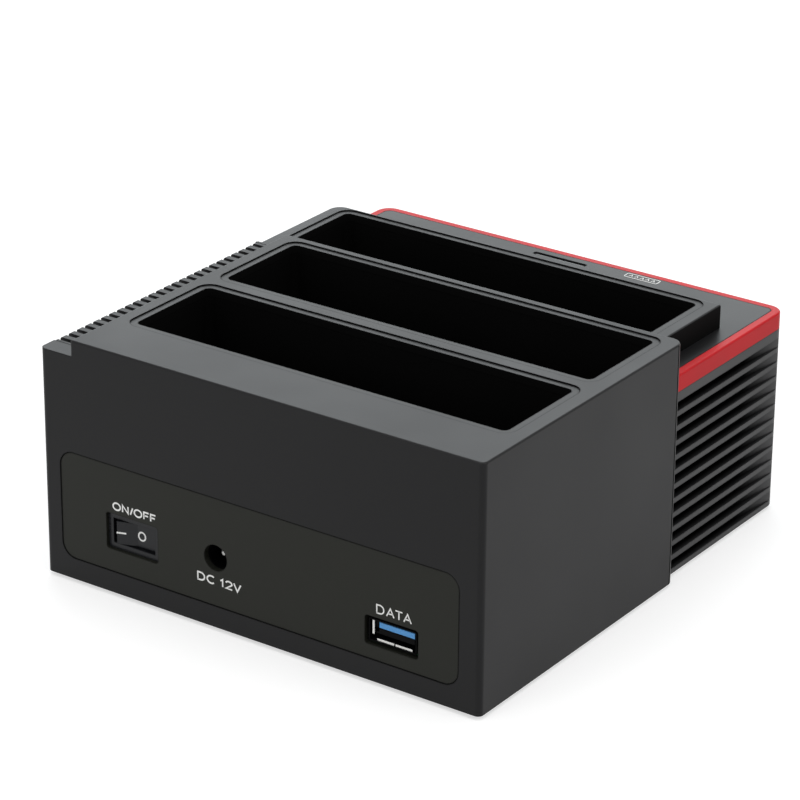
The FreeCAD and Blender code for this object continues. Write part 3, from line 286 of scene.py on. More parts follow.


# Each row: colour, roughness, grain in millimetres, specular level, tone of the painted dark edges.
PLASTICS = {
    "case_plastic": (rgb(25, 25, 26), 0.36, 0.32, 0.16, 0.35),
    "panel_plastic": (rgb(32, 33, 28), 0.42, 0.26, 0.16, 0.35),
    "rib_plastic": (rgb(34, 34, 35), 0.40, 0.32, 0.3, 0.9),
    "console_plastic": (rgb(25, 25, 26), 0.34, 0.30, 0.16, 0.35),
    # The liners are black plastic, made near black and matt here to paint the shade deep in the bays.
    "liner_plastic_painted_shade": (rgb(6, 6, 6), 0.6, 0.4, 0.04, 0.35),
    # Darker and matt: painted shade on the tier's wall and the bays' mouths.
    "painted_shade_walls": (rgb(8, 8, 8), 0.6, 0.3, 0.04, 0.35),
    # Socket bodies are black plastic; so near black and matt, they also paint the shade inside the power
    # inlet's bore.
    "socket_black": (rgb(7, 7, 8), 0.4, 0.2, 0.05, 0.35),
    "switch_black": (rgb(24, 25, 28), 0.25, 0.5, 0.25, 0.8),
}
finishes = {name: moulded(name, *recipe) for name, recipe in PLASTICS.items()}
print("plastics:", sorted(finishes))

# %% [markdown]
# The flanks are cut by deep grooves whose bottoms look nearly black on the
# real dock. The studio's large soft lights reach further in than that, so the
# rib finish fades into a near-black one with depth. Depth is read from the
# piece itself: how far a point lies inside the flank's outer plane and behind
# the nose's, whichever is less, so the nose keeps its tone.

# %% Shade in the grooves
SHADE_STARTS = 0.15
SHADE_FULL = 1.6
front_low, front_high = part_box("front_shell")
flank_plane = front_high.x / MM
nose_plane = front_low.y / MM
ribs = finishes["rib_plastic"]
inside_flank = flank_plane - abs(ribs.place("X"))
behind_nose = ribs.place("Y") - nose_plane
ribs.darken(ribs.span(inside_flank.least(behind_nose), SHADE_STARTS, SHADE_FULL))
print("grooves darken inside", round(flank_plane, 1), "mm from the middle")

# %% [markdown]
# ## The red rim
#
# The rim is a separate satin red moulding, and its edges read as thin deeper
# lines: painted shade, from the same mask as the dark edges of the black plastic.
# The faint sheen on top could be a second, clear shell, but a little of the
# shader's coat gives it without more geometry.

# %% The red finish
RIM_COLOUR = rgb(196, 34, 40)
RIM_EDGE_RADIUS = 0.6


def red_satin(name, colour):
    """Satin plastic with painted shade on its edges and a trace of coat."""
    made = Finish(name, {"Specular IOR Level": 0.06, "IOR": PLASTIC_IOR, "Coat Roughness": 0.3})
    wide = made.noise(18.0)
    fine = made.noise(0.35, 3.0)
    edge = made.edges(RIM_EDGE_RADIUS)
    body = made.blend(made.spread(wide), shade(colour, 0.94), shade(colour, 1.06))
    # The deeper red on the edges is painted shade.
    made.feed("Base Color", made.blend(edge * 0.8, body, shade(colour, 0.45)))
    made.feed("Roughness", made.spread(wide, 0.36, 0.42))
    made.feed("Coat Weight", made.spread(fine, 0.0, 0.03))
    made.feed("Normal", made.bump(fine, 0.008, 0.6))
    return made


finishes["rim_red"] = red_satin("rim_red", RIM_COLOUR)
print("rim colour:", [round(part, 3) for part in RIM_COLOUR[:3]])

# %% [markdown]
# ## Metals
#
# The front sockets have shells of tinned steel, the screws are zinc plated,
# and the contacts are gold plated. Pressed and plated metal is seldom even: it
# has fine drawing lines along the strip and cloudy changes of gloss. One noise
# stretched along an axis gives the lines, and a second one gives the clouds.

# %% The metal finish
METAL_CLOUDS = 2.5


def plated(name, colour, rough, lines):
    """Plated sheet with drawing lines along one axis; `lines` stretches the noise."""
    made = Finish(name, {"Metallic": 1.0})
    drawn = made.node("VectorMath", {"operation": "MULTIPLY"}, {0: made.spot(), 1: lines})
    streak = made.node("TexNoise", {}, {"Vector": drawn, "Scale": 1.0, "Detail": 3.0})
    cloud = made.noise(METAL_CLOUDS)
    made.feed("Base Color", made.blend(made.spread(cloud), shade(colour, 0.88), colour))
    made.feed("Roughness", made.spread(streak, rough - 0.07, rough + 0.07))
    made.feed("Normal", made.bump(streak, 0.004, 0.5))
    return made


# Each row: colour, roughness, stretch of the drawing lines along X, Y and Z.
METALS = {
    "tinned_steel": (rgb(205, 205, 203), 0.28, (6.0, 0.5, 6.0)),
    "zinc_plate": (rgb(150, 150, 152), 0.38, (3.0, 3.0, 3.0)),
    "contact_gold": (rgb(222, 178, 96), 0.25, (5.0, 0.6, 5.0)),
    "can_aluminium": (rgb(190, 192, 195), 0.3, (0.8, 0.8, 4.0)),
}
for name, recipe in METALS.items():
    finishes[name] = plated(name, *recipe)
print("metals:", sorted(METALS))

# %% [markdown]
# ## Small finishes
#
# The remaining pieces are small: rubber feet, the blue tongue of the data
# socket, printing ink, circuit boards, a dark lens. They share one recipe, a
# base colour broken by noise, each with its own grain, gloss and bump. A flat
# colour would be quicker, but it looks like a sticker as soon as the camera
# comes near.

# %% The recipe for small pieces
PATCH_TO_GRAIN = 20


def speckled(name, colour, rough, grain, depth, contrast):
    """A colour broken by fine noise, with patches of gloss and a slight bump."""
    made = Finish(name, {})
    fine = made.noise(grain, 3.0)
    wide = made.noise(grain * PATCH_TO_GRAIN)
    darker = shade(colour, 1 - contrast)
    lighter = shade(colour, 1 + contrast)
    made.feed("Base Color", made.blend(made.spread(fine, reach=0.15), darker, lighter))
    made.feed("Roughness", made.spread(wide, rough - 0.05, rough + 0.05))
    made.feed("Normal", made.bump(fine, depth, 0.7))
    return made


# Each row: colour, roughness, grain and depth in millimetres, contrast.
SMALL_FINISHES = {
    "foot_rubber": (rgb(26, 26, 27), 0.8, 0.35, 0.03, 0.08),
    "filter_felt": (rgb(9, 9, 9), 0.9, 0.25, 0.05, 0.2),
    "tongue_blue": (rgb(84, 160, 226), 0.4, 0.3, 0.005, 0.08),
    "tongue_white": (rgb(214, 214, 208), 0.4, 0.3, 0.005, 0.08),
    "print_white": (rgb(244, 244, 242), 0.55, 0.12, 0.004, 0.04),
    # Near white and not metallic: a painted reflection on the socket's spring lips.
    "spring_tin_painted_shine": (rgb(255, 254, 250), 0.25, 0.3, 0.002, 0.02),
    "lens_dark": (rgb(9, 9, 10), 0.12, 0.8, 0.002, 0.1),
    "guide_clear": (rgb(205, 212, 214), 0.15, 0.6, 0.002, 0.03),
    "lamp_white": (rgb(232, 230, 214), 0.3, 0.4, 0.003, 0.03),
    "board_green": (rgb(18, 78, 42), 0.3, 0.9, 0.01, 0.12),
    "chip_black": (rgb(24, 24, 25), 0.55, 0.15, 0.01, 0.08),
    "coil_grey": (rgb(62, 62, 64), 0.6, 0.3, 0.02, 0.08),
}
for name, recipe in SMALL_FINISHES.items():
    finishes[name] = speckled(name, *recipe)
print("finishes so far:", len(finishes))

# %% [markdown]
# ## Which finish goes where
#
# Every CAD piece keeps its mesh and gets a finish in place of the plain
# colour that it came with. The table is written out in full, so that no
# piece is forgotten, and the cell stops if one is. The base's screws get one
# too, though the last added piece will replace them.

# %% Give every CAD piece its finish
wearing = {
    "case_plastic": ["rear_housing", "vent_grille", "base_plate"],
    "panel_plastic": ["port_panel", "front_panel"],
    "rib_plastic": ["front_shell"],
    "console_plastic": ["front_deck", "backup_button"],
    "liner_plastic_painted_shade": ["bay_liner_1", "bay_liner_2", "bay_liner_3"],
    "socket_black": ["sata_connector_1", "sata_connector_2", "sata_connector_3", "dc_jack_body",
                     "board_header", "tact_switch", "usb_shell"],
    "switch_black": ["switch_body", "power_rocker"],
    "rim_red": ["red_trim"],
    "tinned_steel": ["hub_port_1_shell", "hub_port_2_shell", "card_slot", "dc_jack_pin",
                     "switch_tabs", "crystal"],
    "zinc_plate": ["button_board_screws", "base_screws", "board_screws"],
    "contact_gold": ["usb_contacts", "hub_port_contacts"],
    "can_aluminium": ["capacitors"],
    "foot_rubber": ["rubber_feet"],
    "tongue_blue": ["usb_tongue"],
    "tongue_white": ["hub_port_1_tongue", "hub_port_2_tongue"],
    "lens_dark": ["indicator_window"],
    "guide_clear": ["light_pipes"],
    "lamp_white": ["status_leds"],
    "board_green": ["button_board", "hub_board", "main_board"],
    "chip_black": ["controller_chip", "bridge_chips"],
    "coil_grey": ["inductors"],
}
dressed = set()
for finish_name, piece_names in wearing.items():
    for piece_name in piece_names:
        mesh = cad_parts[piece_name].data
        mesh.materials.clear()
        mesh.materials.append(finishes[finish_name].material)
        dressed.add(piece_name)
forgotten = set(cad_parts) - dressed
assert not forgotten, forgotten
print("pieces dressed:", len(dressed))

# %% [markdown]
# The upright wall of the lower tier looks nearly black on the real dock, and so
# do the upright walls of the bays' mouths, which stand in shade. All are part of
# the housing. They could be separate pieces, but a mesh may wear more than one
# finish, so the housing gets a second, darker and more matt one there, which
# paints that shade: on its upright faces ahead of the case, or close round a
# bay's liner.

# %% A second finish for the tier's wall and the bays' mouths: painted shade
LEDGE = 2.3 * MM
STEEP = 0.5
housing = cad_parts["rear_housing"].data
housing.materials.append(finishes["painted_shade_walls"].material)
case_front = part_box("front_deck")[1].y
liners = [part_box("bay_liner_" + str(number)) for number in (1, 2, 3)]


def in_a_mouth(spot):
    """Whether a place is over a bay's liner or on the ledge round it."""
    return any(low.x - LEDGE < spot.x < high.x + LEDGE and low.y - LEDGE < spot.y < high.y + LEDGE
               for low, high in liners)


def in_shade(face):
    """Whether an upright face of the housing belongs to the tier or to a bay's mouth."""
    upright = abs(face.normal.z) < STEEP
    return upright and (face.center.y < case_front or in_a_mouth(face.center))


shaded = [face for face in housing.polygons if in_shade(face)]
# These faces get the second finish, a painted shade.
for face in shaded:
    face.material_index = 1
print("matt faces on the housing:", len(shaded))

# %% [markdown]
# Near the front end of its flank the real case shows a fine upright dark line,
# which may be a seam. It could be cut into the mesh, but a CAD piece's mesh
# stays as it is, so the finish draws the line by the place on the piece. One
# mask is 1 close to the line, and a second keeps it on the outer flanks. The
# line's place comes from the mesh: the foremost place where the flank is still
# flat.

# %% The line on the flanks
FLAT_WITHIN = 0.05 * MM
LINE_FADES = 0.38
LINE_SOLID = 0.22
SKIN_FADES = 0.2
SKIN_SOLID = 0.05
case = finishes["case_plastic"]
flank = dock_high.x / MM
seam = min(v.co.y for v in housing.vertices if v.co.x < dock_low.x + FLAT_WITHIN) / MM
on_line = case.span(abs(case.place("Y") - seam), LINE_FADES, LINE_SOLID)
on_flank = case.span(abs(case.place("X")), flank - SKIN_FADES, flank - SKIN_SOLID)
case.darken(on_line * on_flank)
print("line at y =", round(seam, 1), "mm")

# %% [markdown]
# ## Adding pieces
#
# Each added piece is a mesh that rides on one body of the dock. A plate could
# be a scaled cube, but most of these have rounded or odd outlines, so they are
# built face by face. `new_piece` turns a bmesh into an object with a finish.
# `facing` describes a face by its middle and by the directions that a reader
# of its printing would call right and up.

# %% Make an object and lay a drawing on a face
def make_object(name, shape, material):
    """Turn a bmesh into an object of the scene."""
    mesh = bpy.data.meshes.new(name)
    shape.to_mesh(mesh)
    shape.free()
    mesh.materials.append(material)
    made = bpy.data.objects.new(name, mesh)
    bpy.context.scene.collection.objects.link(made)
    return made


def new_piece(name, shape, finish_name, body="dock"):
    """Finish a bmesh as an object that rides on a body."""
    piece = make_object(name, shape, finishes[finish_name].material)
    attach(piece, body)
    return piece


def facing(middle, right, up):
    """A matrix that lays a flat drawing on a face."""
    across = Vector(right).normalized()
    upward = Vector(up).normalized()
    turn = Matrix((across, upward, across.cross(upward))).transposed().to_4x4()
    return Matrix.Translation(middle) @ turn


REAR = {"right": (-1, 0, 0), "up": (0, 0, 1)}
TOP = {"right": (-1, 0, 0), "up": (0, -1, 0)}
print("rear face normal:", tuple(facing((0, 0, 0), **REAR).to_3x3().col[2]))

# %% [markdown]
# Nearly every added piece is a run of like outlines joined by faces: the two
# sides of a plate, the bends of a spring, the rings of a pin. So one helper,
# `add_skin`, joins any such run, and `add_slab` uses it for plates.

# %% Join outlines into a solid
def join_loops(shape, first, second):
    """A band of faces between two loops of the same length."""
    for i in range(len(first)):
        j = (i + 1) % len(first)
        shape.faces.new((first[i], first[j], second[j], second[i]))


def add_skin(shape, loops, closed=False):
    """Faces along a run of loops, with a cap at each end unless the run closes."""
    following = loops[1:] + loops[:1] if closed else loops[1:]
    for here, after in zip(loops, following):
        join_loops(shape, here, after)
    if not closed:
        shape.faces.new(loops[0][::-1])
        shape.faces.new(loops[-1])


def rounded_outline(wide, tall, radius, steps=5):
    """Corner points of a rounded rectangle about the origin."""
    points = []
    for corner, (sx, sy) in enumerate(((1, 1), (-1, 1), (-1, -1), (1, -1))):
        centre = Vector((sx * (wide / 2 - radius), sy * (tall / 2 - radius), 0))
        for step in range(steps + 1):
            angle = math.radians(90 * corner + 90 * step / steps)
            points.append(centre + radius * Vector((math.cos(angle), math.sin(angle), 0)))
    return points


def add_slab(shape, outline, thick, lay):
    """A plate of that outline, from the face up to its thickness."""
    base = [shape.verts.new(lay @ point) for point in outline]
    top = [shape.verts.new(lay @ (point + Vector((0, 0, thick)))) for point in outline]
    add_skin(shape, [base, top])


trial = bmesh.new()
add_slab(trial, rounded_outline(4, 2, 0.5), 1, Matrix.Identity(4))
print("faces in a trial plate:", len(trial.faces))
trial.free()

# %% [markdown]
# ## Printing
#
# The marks are printed in white: plain words on the port panel, a dash and a
# ring on the rocker, a small framed legend on the console. The words could be
# text objects in Blender's own typeface, but strokes of one width come closer
# to the dock's plain letters, and the other marks need them anyway. One helper
# draws them all: it follows a list of points with a flat ribbon a few
# hundredths of a millimetre thick, and cuts its corners at the angle of the
# bend. The ribbon's edges are worked out in the drawing's own plane, and
# `facing` lays them on the face at the end.

# %% Draw a line of ink
INK = 0.03 * MM
CLEAR = 0.01 * MM
SHARPEST_MITRE = 0.5


def ribbon(points, half, closed):
    """The two edges of a line along points, mitred at each bend."""
    edges = []
    count = len(points)
    for i, here in enumerate(points):
        before = points[i - 1] if i or closed else here
        after = points[(i + 1) % count] if i < count - 1 or closed else here
        coming = (here - before).normalized() if before is not here else (after - here).normalized()
        going = (after - here).normalized() if after is not here else coming
        mean = (coming + going).normalized()
        normal = Vector((-mean.y, mean.x, 0))
        reach = half / max(SHARPEST_MITRE, normal.dot(Vector((-coming.y, coming.x, 0))))
        edges.append((here + normal * reach, here - normal * reach))
    return edges


def add_line(shape, points, width, lay, closed=False):
    """Ink along points: a ribbon with a top, a bottom and sides."""
    drawn = []
    for left, right in ribbon([Vector((x, y, 0)) for x, y in points], width / 2, closed):
        corners = (left, right, right + Vector((0, 0, INK)), left + Vector((0, 0, INK)))
        drawn.append([shape.verts.new(lay @ corner) for corner in corners])
    add_skin(shape, drawn, closed)


def arc(x, y, wide, tall, start, end, steps=10):
    """Points on an ellipse from one angle to another, in degrees."""
    turns = [math.radians(start + (end - start) * step / steps) for step in range(steps + 1)]
    return [(x + wide / 2 * math.cos(turn), y + tall / 2 * math.sin(turn)) for turn in turns]


trial = bmesh.new()
add_line(trial, arc(0, 0, 2, 2, 0, 300), 0.2, Matrix.Identity(4))
print("faces in a trial arc:", len(trial.faces))
trial.free()

# %% [markdown]
# The capitals are drawn on a grid one unit tall. Each is one or two lines, with
# arcs where the letter is round. Before the lines stands the letter's width,
# with the gap that follows it. The strokes of the words are between a fifth and
# a seventh of their height.

# %% Capitals as strokes
BOWL = arc(0.36, 0.5, 0.74, 1.0, 90, -90)
ROUND = arc(0.42, 0.5, 0.84, 1.0, 0, 345, 22)
CAPITALS = {
    "O": (1.04, [ROUND + ROUND[:1]]),
    "N": (0.96, [[(0.06, 0), (0.06, 1), (0.70, 0), (0.70, 1)]]),
    "/": (0.46, [[(0.0, 0), (0.28, 1)]]),
    "F": (0.78, [[(0.06, 0), (0.06, 1), (0.62, 1)], [(0.06, 0.52), (0.54, 0.52)]]),
    "D": (0.98, [[(0.06, 0.0), (0.06, 1.0)] + BOWL + [(0.06, 0.0), (0.06, 0.1)]]),
    "C": (0.94, [arc(0.42, 0.5, 0.80, 1.0, 48, 312, 16)]),
    "1": (0.64, [[(0.14, 0.74), (0.36, 1.0), (0.36, 0.0)]]),
    "2": (0.82, [arc(0.34, 0.71, 0.60, 0.58, 170, -40, 12) + [(0.04, 0.0), (0.66, 0.0)]]),
    "V": (0.84, [[(0.02, 1), (0.36, 0), (0.70, 1)]]),
    "A": (0.86, [[(0.02, 0), (0.37, 1), (0.72, 0)], [(0.15, 0.34), (0.59, 0.34)]]),
    "T": (0.78, [[(0.0, 1), (0.66, 1)], [(0.33, 1), (0.33, 0)]]),
    " ": (0.26, []),
}
LAST_GAP = 0.2
print("characters drawn:", "".join(sorted(CAPITALS)))

# %% [markdown]
# The words stand over the switch, below the inlet's opening and over the data
# socket, each a little off its socket's middle. So their places are measured
# from the boxes of those three pieces.

# %% The words on the port panel
ink_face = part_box("port_panel")[1].y + CLEAR


def printed_words(name, words, x, z, wide, tall, stroke):
    """Words in white ink on the port panel, fitted to a width and a height."""
    shape = bmesh.new()
    lay = facing((x, ink_face, z), **REAR)
    total = sum(CAPITALS[letter][0] for letter in words) - LAST_GAP
    start = 0.0
    for letter in words:
        advance, lines = CAPITALS[letter]
        for line in lines:
            placed = [(((start + along) / total - 0.5) * wide, (rise - 0.5) * (tall - stroke))
                      for along, rise in line]
            add_line(shape, placed, stroke, lay)
        start += advance
    return new_piece(name, shape, "print_white")


switch_low, switch_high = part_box("switch_body")
jack_low, jack_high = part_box("dc_jack_body")
usb_low, usb_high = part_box("usb_shell")
switch_x = (switch_low.x + switch_high.x) / 2
jack_x = (jack_low.x + jack_high.x) / 2
usb_x = (usb_low.x + usb_high.x) / 2
STROKE = 0.41 * MM
FINE_STROKE = 0.34 * MM
printed_words("print_on_off", "ON/OFF", switch_x - 0.8 * MM, switch_high.z + 2.2 * MM,
              12.6 * MM, 2.2 * MM, STROKE)
printed_words("print_dc", "DC 12V", jack_x - 0.85 * MM, jack_high.z - 10.5 * MM,
              12.5 * MM, 2.3 * MM, STROKE)
printed_words("print_data", "DATA", usb_x - 0.55 * MM, usb_high.z + 3.1 * MM,
              9.4 * MM, 2.4 * MM, FINE_STROKE)
print("words printed at y =", round(ink_face / MM, 2), "mm")

# %% [markdown]
# ## Marks on the power rocker
#
# The rocker carries a dash for on and a ring for off. They must tilt with it,
# so they ride on the rocker's own body, and they lie on its two sloping
# faces, a little to one side of the middle. The slopes could be copied from
# the CAD as angles, but the mesh already has them: of all the faces that look
# out of the back, the two largest are the halves of the paddle.

# %% Find the paddle's faces and print on them
SMALLEST_FACE = 0.2 * MM * MM
OUTWARD = 0.9
MARK_STROKE = 0.42 * MM


def paddle_faces():
    """Middle and outward direction of the paddle's two halves, +X side first."""
    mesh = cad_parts["power_rocker"].data
    groups = {}
    for face in mesh.polygons:
        if face.normal.y > OUTWARD and face.area > SMALLEST_FACE:
            key = tuple(round(part, 2) for part in face.normal)
            groups.setdefault(key, []).append(face)
    largest = sorted(groups.values(), key=lambda faces: -sum(face.area for face in faces))[:2]
    found = []
    for faces in largest:
        area = sum(face.area for face in faces)
        middle = sum((face.center * face.area for face in faces), Vector()) / area
        found.append((middle, faces[0].normal.copy()))
    return sorted(found, key=lambda item: -item[0].x)


def rocker_mark(name, line, face, closed):
    """A line of ink on one half of the paddle, riding on the rocker."""
    middle, out = face
    lay = facing(middle + out * CLEAR, Vector((0, 0, 1)).cross(out), (0, 0, 1))
    shape = bmesh.new()
    add_line(shape, line, MARK_STROKE, lay, closed)
    new_piece(name, shape, "print_white", "rocker")
    print(name, "at", [round(part / MM, 1) for part in middle])


on_face, off_face = paddle_faces()
rocker_mark("rocker_dash", [(-2.7 * MM, 0.0), (-0.3 * MM, 0.0)], on_face, False)
rocker_mark("rocker_ring", arc(-1.4 * MM, 0, 2.0 * MM, 2.1 * MM, 0, 345, 22), off_face, True)

# %% [markdown]
# ## The legend on the console
#
# Ahead of the bays the console has a small framed legend beside the lamp
# slit. Its frame is one closed line with rounded corners. What it says is left
# out: a row of short bent strokes stands inside it instead.

# %% The legend
LEGEND_WIDE = 9.4 * MM
LEGEND_TALL = 2.3 * MM
LEGEND_CORNER = 0.4 * MM
LEGEND_STROKE = 0.2 * MM
FRAME_STROKE = 0.22 * MM
FROM_SLIT = 16.1 * MM
AHEAD_OF_SLIT = 1.0 * MM
BEND = [(-0.45, -0.5), (0.0, 0.5), (0.45, -0.5)]
slit_low, slit_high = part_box("indicator_window")
console_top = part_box("front_deck")[1].z
legend_x = slit_low.x - FROM_SLIT
legend_y = (slit_low.y + slit_high.y) / 2 - AHEAD_OF_SLIT
legend_lay = facing((legend_x, legend_y, console_top + CLEAR), **TOP)
legend_outline = rounded_outline(LEGEND_WIDE, LEGEND_TALL, LEGEND_CORNER)
legend_frame = [(point.x, point.y) for point in legend_outline]
legend = bmesh.new()
add_line(legend, legend_frame, FRAME_STROKE, legend_lay, closed=True)
for middle_x in (-3.2, -1.6, 0.0, 1.6, 3.2):
    bent = [((middle_x + x) * MM, y * MM) for x, y in BEND]
    add_line(legend, bent, LEGEND_STROKE, legend_lay)
new_piece("console_legend", legend, "print_white")
print("legend stands", round((slit_low.x - legend_x) / MM, 1), "mm from the slit")

# %% [markdown]
# ## Springs in the data socket
#
# A data socket grips its plug with springs cut from its shell: here one at the
# side and two below the tongue. Each is a strip that starts with a small
# upright lip at the mouth, which shows as a thin bright line, and then falls
# back to its wall. A metallic finish would be the obvious one, but it mirrors
# the dark opening and goes black. So the strips get a near-white one that isn't
# metallic: the bright line of their lips is a painted reflection.

# %% The springs
SPRING = [(0.0, 0.0), (0.0, 0.5), (0.12, 0.5), (0.75, 0.0)]
SHEET = 0.1
LOWER_SPRING = 4.6 * MM
SIDE_SPRING = 3.4 * MM


def add_spring(shape, base, along, out, length):
    """A strip bent along the spring's profile, `length` wide, standing `out` from its wall."""
    side = Vector(along)
    away = Vector(out)
    inward = Vector((0, -1, 0))
    back = (inward - away) * SHEET * MM
    rows = []
    for deep, rise in SPRING:
        spot = Vector(base) + (inward * deep + away * rise) * MM
        rows.append([shape.verts.new(spot + side * length * end + back * layer)
                     for end, layer in ((-0.5, 0), (0.5, 0), (0.5, 1), (-0.5, 1))])
    add_skin(shape, rows)


tongue_low, tongue_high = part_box("usb_tongue")
lip_y = tongue_high.y + 0.6 * MM
lip_floor = tongue_low.z - 0.1 * MM
side_lip = (tongue_high.x - 0.45 * MM, lip_y, tongue_high.z - 1.9 * MM)
springs = bmesh.new()
for offset in (-2.9, 2.1):
    add_spring(springs, (usb_x + offset * MM, lip_y, lip_floor), (1, 0, 0), (0, 0, 1), LOWER_SPRING)
add_spring(springs, side_lip, (0, 0, 1), (-1, 0, 0), SIDE_SPRING)
bmesh.ops.recalc_face_normals(springs, faces=springs.faces)
print("faces on the springs:", len(springs.faces))
new_piece("usb_springs", springs, "spring_tin_painted_shine", "dock")

# %% [markdown]
# The socket's tongue is blue above and black below, where it carries the
# contacts, and its end towards the side spring is black too. Cutting its mesh
# would give it two finishes, but a CAD piece's mesh stays as it is, so two
# thin black plates stand on the tongue's end.

# %% The black part of the tongue
PLATE = 0.06 * MM
carrier_middle = (usb_x, tongue_high.y, tongue_high.z - 2.75 * MM)
cheek_middle = (tongue_high.x - 1.05 * MM, tongue_high.y, tongue_high.z - 1.7 * MM)
carrier = bmesh.new()
add_slab(carrier, rounded_outline(11.0 * MM, 1.5 * MM, 0.2 * MM), PLATE, facing(carrier_middle, **REAR))
add_slab(carrier, rounded_outline(1.7 * MM, 2.6 * MM, 0.1 * MM), PLATE, facing(cheek_middle, **REAR))
new_piece("usb_contact_carrier", carrier, "socket_black", "dock")
print("carrier stands at z =", round(carrier_middle[2] / MM, 1), "mm")

# %% [markdown]
# ## The inlet's pin
#
# The power inlet's centre pin has a rounded tip that glints near the mouth.
# It is a turned shape: a ring for each step of its profile, and a skin over
# them. The profile gives each ring as a share of the pin's radius and a
# distance out in millimetres.

# %% The pin's tip
def circle(radius, rise, steps):
    """Points round a circle about the origin, lifted by `rise`."""
    turns = [math.tau * i / steps for i in range(steps)]
    return [Vector((radius * math.cos(turn), radius * math.sin(turn), rise)) for turn in turns]


TIP = [(0.55, 0.0), (0.98, 0.35), (0.98, 0.55), (0.80, 0.9), (0.45, 1.1)]
TIP_STEPS = 20
SUNK = 0.1 * MM
pin_low, pin_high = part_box("dc_jack_pin")
pin_radius = (pin_high.x - pin_low.x) / 2
tip_base = (pin_low.x + pin_radius, pin_high.y - SUNK, pin_low.z + pin_radius)
tip_lay = facing(tip_base, **REAR)
tip = bmesh.new()
tip_rings = []
for share, out in TIP:
    points = circle(share * pin_radius, out * MM, TIP_STEPS)
    tip_rings.append([tip.verts.new(tip_lay @ point) for point in points])
add_skin(tip, tip_rings)
bmesh.ops.recalc_face_normals(tip, faces=tip.faces)
new_piece("jack_pin_tip", tip, "tinned_steel", "dock")
print("pin radius:", round(pin_radius / MM, 2), "mm")

# %% [markdown]
# ## Contacts in the bays
#
# Down in each bay stands a black receptacle with a short slot for signals and
# a long one for power. The contacts are gold strips at a pitch of 1.27 mm,
# set along one wall of each slot: seven in the short slot, fifteen in the
# long one. They are the only bright thing in the dark bay, so a bay without
# them looks empty from above.

# %% Gold strips in the drive receptacles
PITCH = 1.27 * MM
END_WALL = 3.2 * MM
SIGNAL_WIDE = 10.6 * MM
BRIDGE = 2.2 * MM
POWER_WIDE = 20.8 * MM
SLOT_ACROSS = 2.4 * MM
SIGNAL_STRIPS = 7
POWER_STRIPS = 15
STRIP_WIDE = 0.6 * MM
STRIP_TALL = 3.6 * MM
STRIP_CORNER = 0.25 * MM
STRIP_DOWN = 2.3 * MM
STRIP_THICK = 0.12 * MM
strip_outline = rounded_outline(STRIP_WIDE, STRIP_TALL, STRIP_CORNER, 3)
for number in (1, 2, 3):
    port_low, port_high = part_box("sata_connector_" + str(number))
    strips = bmesh.new()
    slot_wall = (port_low.y + port_high.y) / 2 + SLOT_ACROSS / 2
    signal_middle = port_high.x - END_WALL - SIGNAL_WIDE / 2
    power_middle = port_high.x - END_WALL - SIGNAL_WIDE - BRIDGE - POWER_WIDE / 2
    for slot_middle, count in ((signal_middle, SIGNAL_STRIPS), (power_middle, POWER_STRIPS)):
        for place in range(count):
            x = slot_middle + (place - (count - 1) / 2) * PITCH
            lay = facing((x, slot_wall, port_high.z - STRIP_DOWN), (1, 0, 0), (0, 0, 1))
            add_slab(strips, strip_outline, STRIP_THICK, lay)
    new_piece("drive_contacts_" + str(number), strips, "contact_gold", "dock")
print("contacts per bay:", SIGNAL_STRIPS + POWER_STRIPS)

# %% [markdown]
# ## Felt behind the vents
#
# Through the slots one would see into the hollow case and out to the light.
# What the real dock has there isn't known. A strip of black felt, such as dust
# filters are made of, closes the view here. It lies under the slots and turns
# up along their inner ends, so its section is an L, drawn once and pulled
# along the strip.

# %% The felt
SIDE_WALL = 2.5 * MM
FELT = 0.5 * MM
TURN_UP = 3.2 * MM
vent_low, vent_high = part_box("vent_grille")
felt_run = vent_high.x - SIDE_WALL - vent_low.x
felt_long = vent_high.y - vent_low.y - 2 * FELT
section = [(0, 0), (felt_run, 0), (felt_run, TURN_UP),
           (felt_run - FELT, TURN_UP), (felt_run - FELT, FELT), (0, FELT)]
felt_corner = (vent_high.x - SIDE_WALL, vent_low.y + FELT, vent_low.z - 2 * FELT)
felt = bmesh.new()
add_slab(felt, [Vector((x, z, 0)) for x, z in section], felt_long, facing(felt_corner, **REAR))
new_piece("vent_felt", felt, "filter_felt", "dock")
print("felt is", round(felt_long / MM, 1), "mm long")

# %% [markdown]
# ## Screws under the base
#
# Four screws hold the dock together from below. Screws of this kind usually
# have a crossed recess for the driver, and the CAD model's are plain, so these
# replace them. Their places come from the plain ones: there is one in each
# quarter of the base.

# %% Where the screws stand
def quadrant_middles(name):
    """The middle of each of four like things, one in each quadrant of a CAD piece."""
    spots = []
    for sx, sy in ((1, 1), (-1, 1), (-1, -1), (1, -1)):
        near = [v.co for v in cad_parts[name].data.vertices if v.co.x * sx > 0 and v.co.y * sy > 0]
        spots.append([(min(co[i] for co in near) + max(co[i] for co in near)) / 2 for i in (0, 1)])
    return spots


screw_spots = quadrant_middles("base_screws")
print("screws at:", [[round(part / MM, 1) for part in spot] for spot in screw_spots])

# %% [markdown]
# A recess could be cut with a boolean, but its outline is simple enough to
# draw: the face of each head is a disc with a cross-shaped hole, filled by
# Blender between the two outlines, and the recess tapers inwards. The rest of
# the screw is a turned shape, as the pin's tip is.

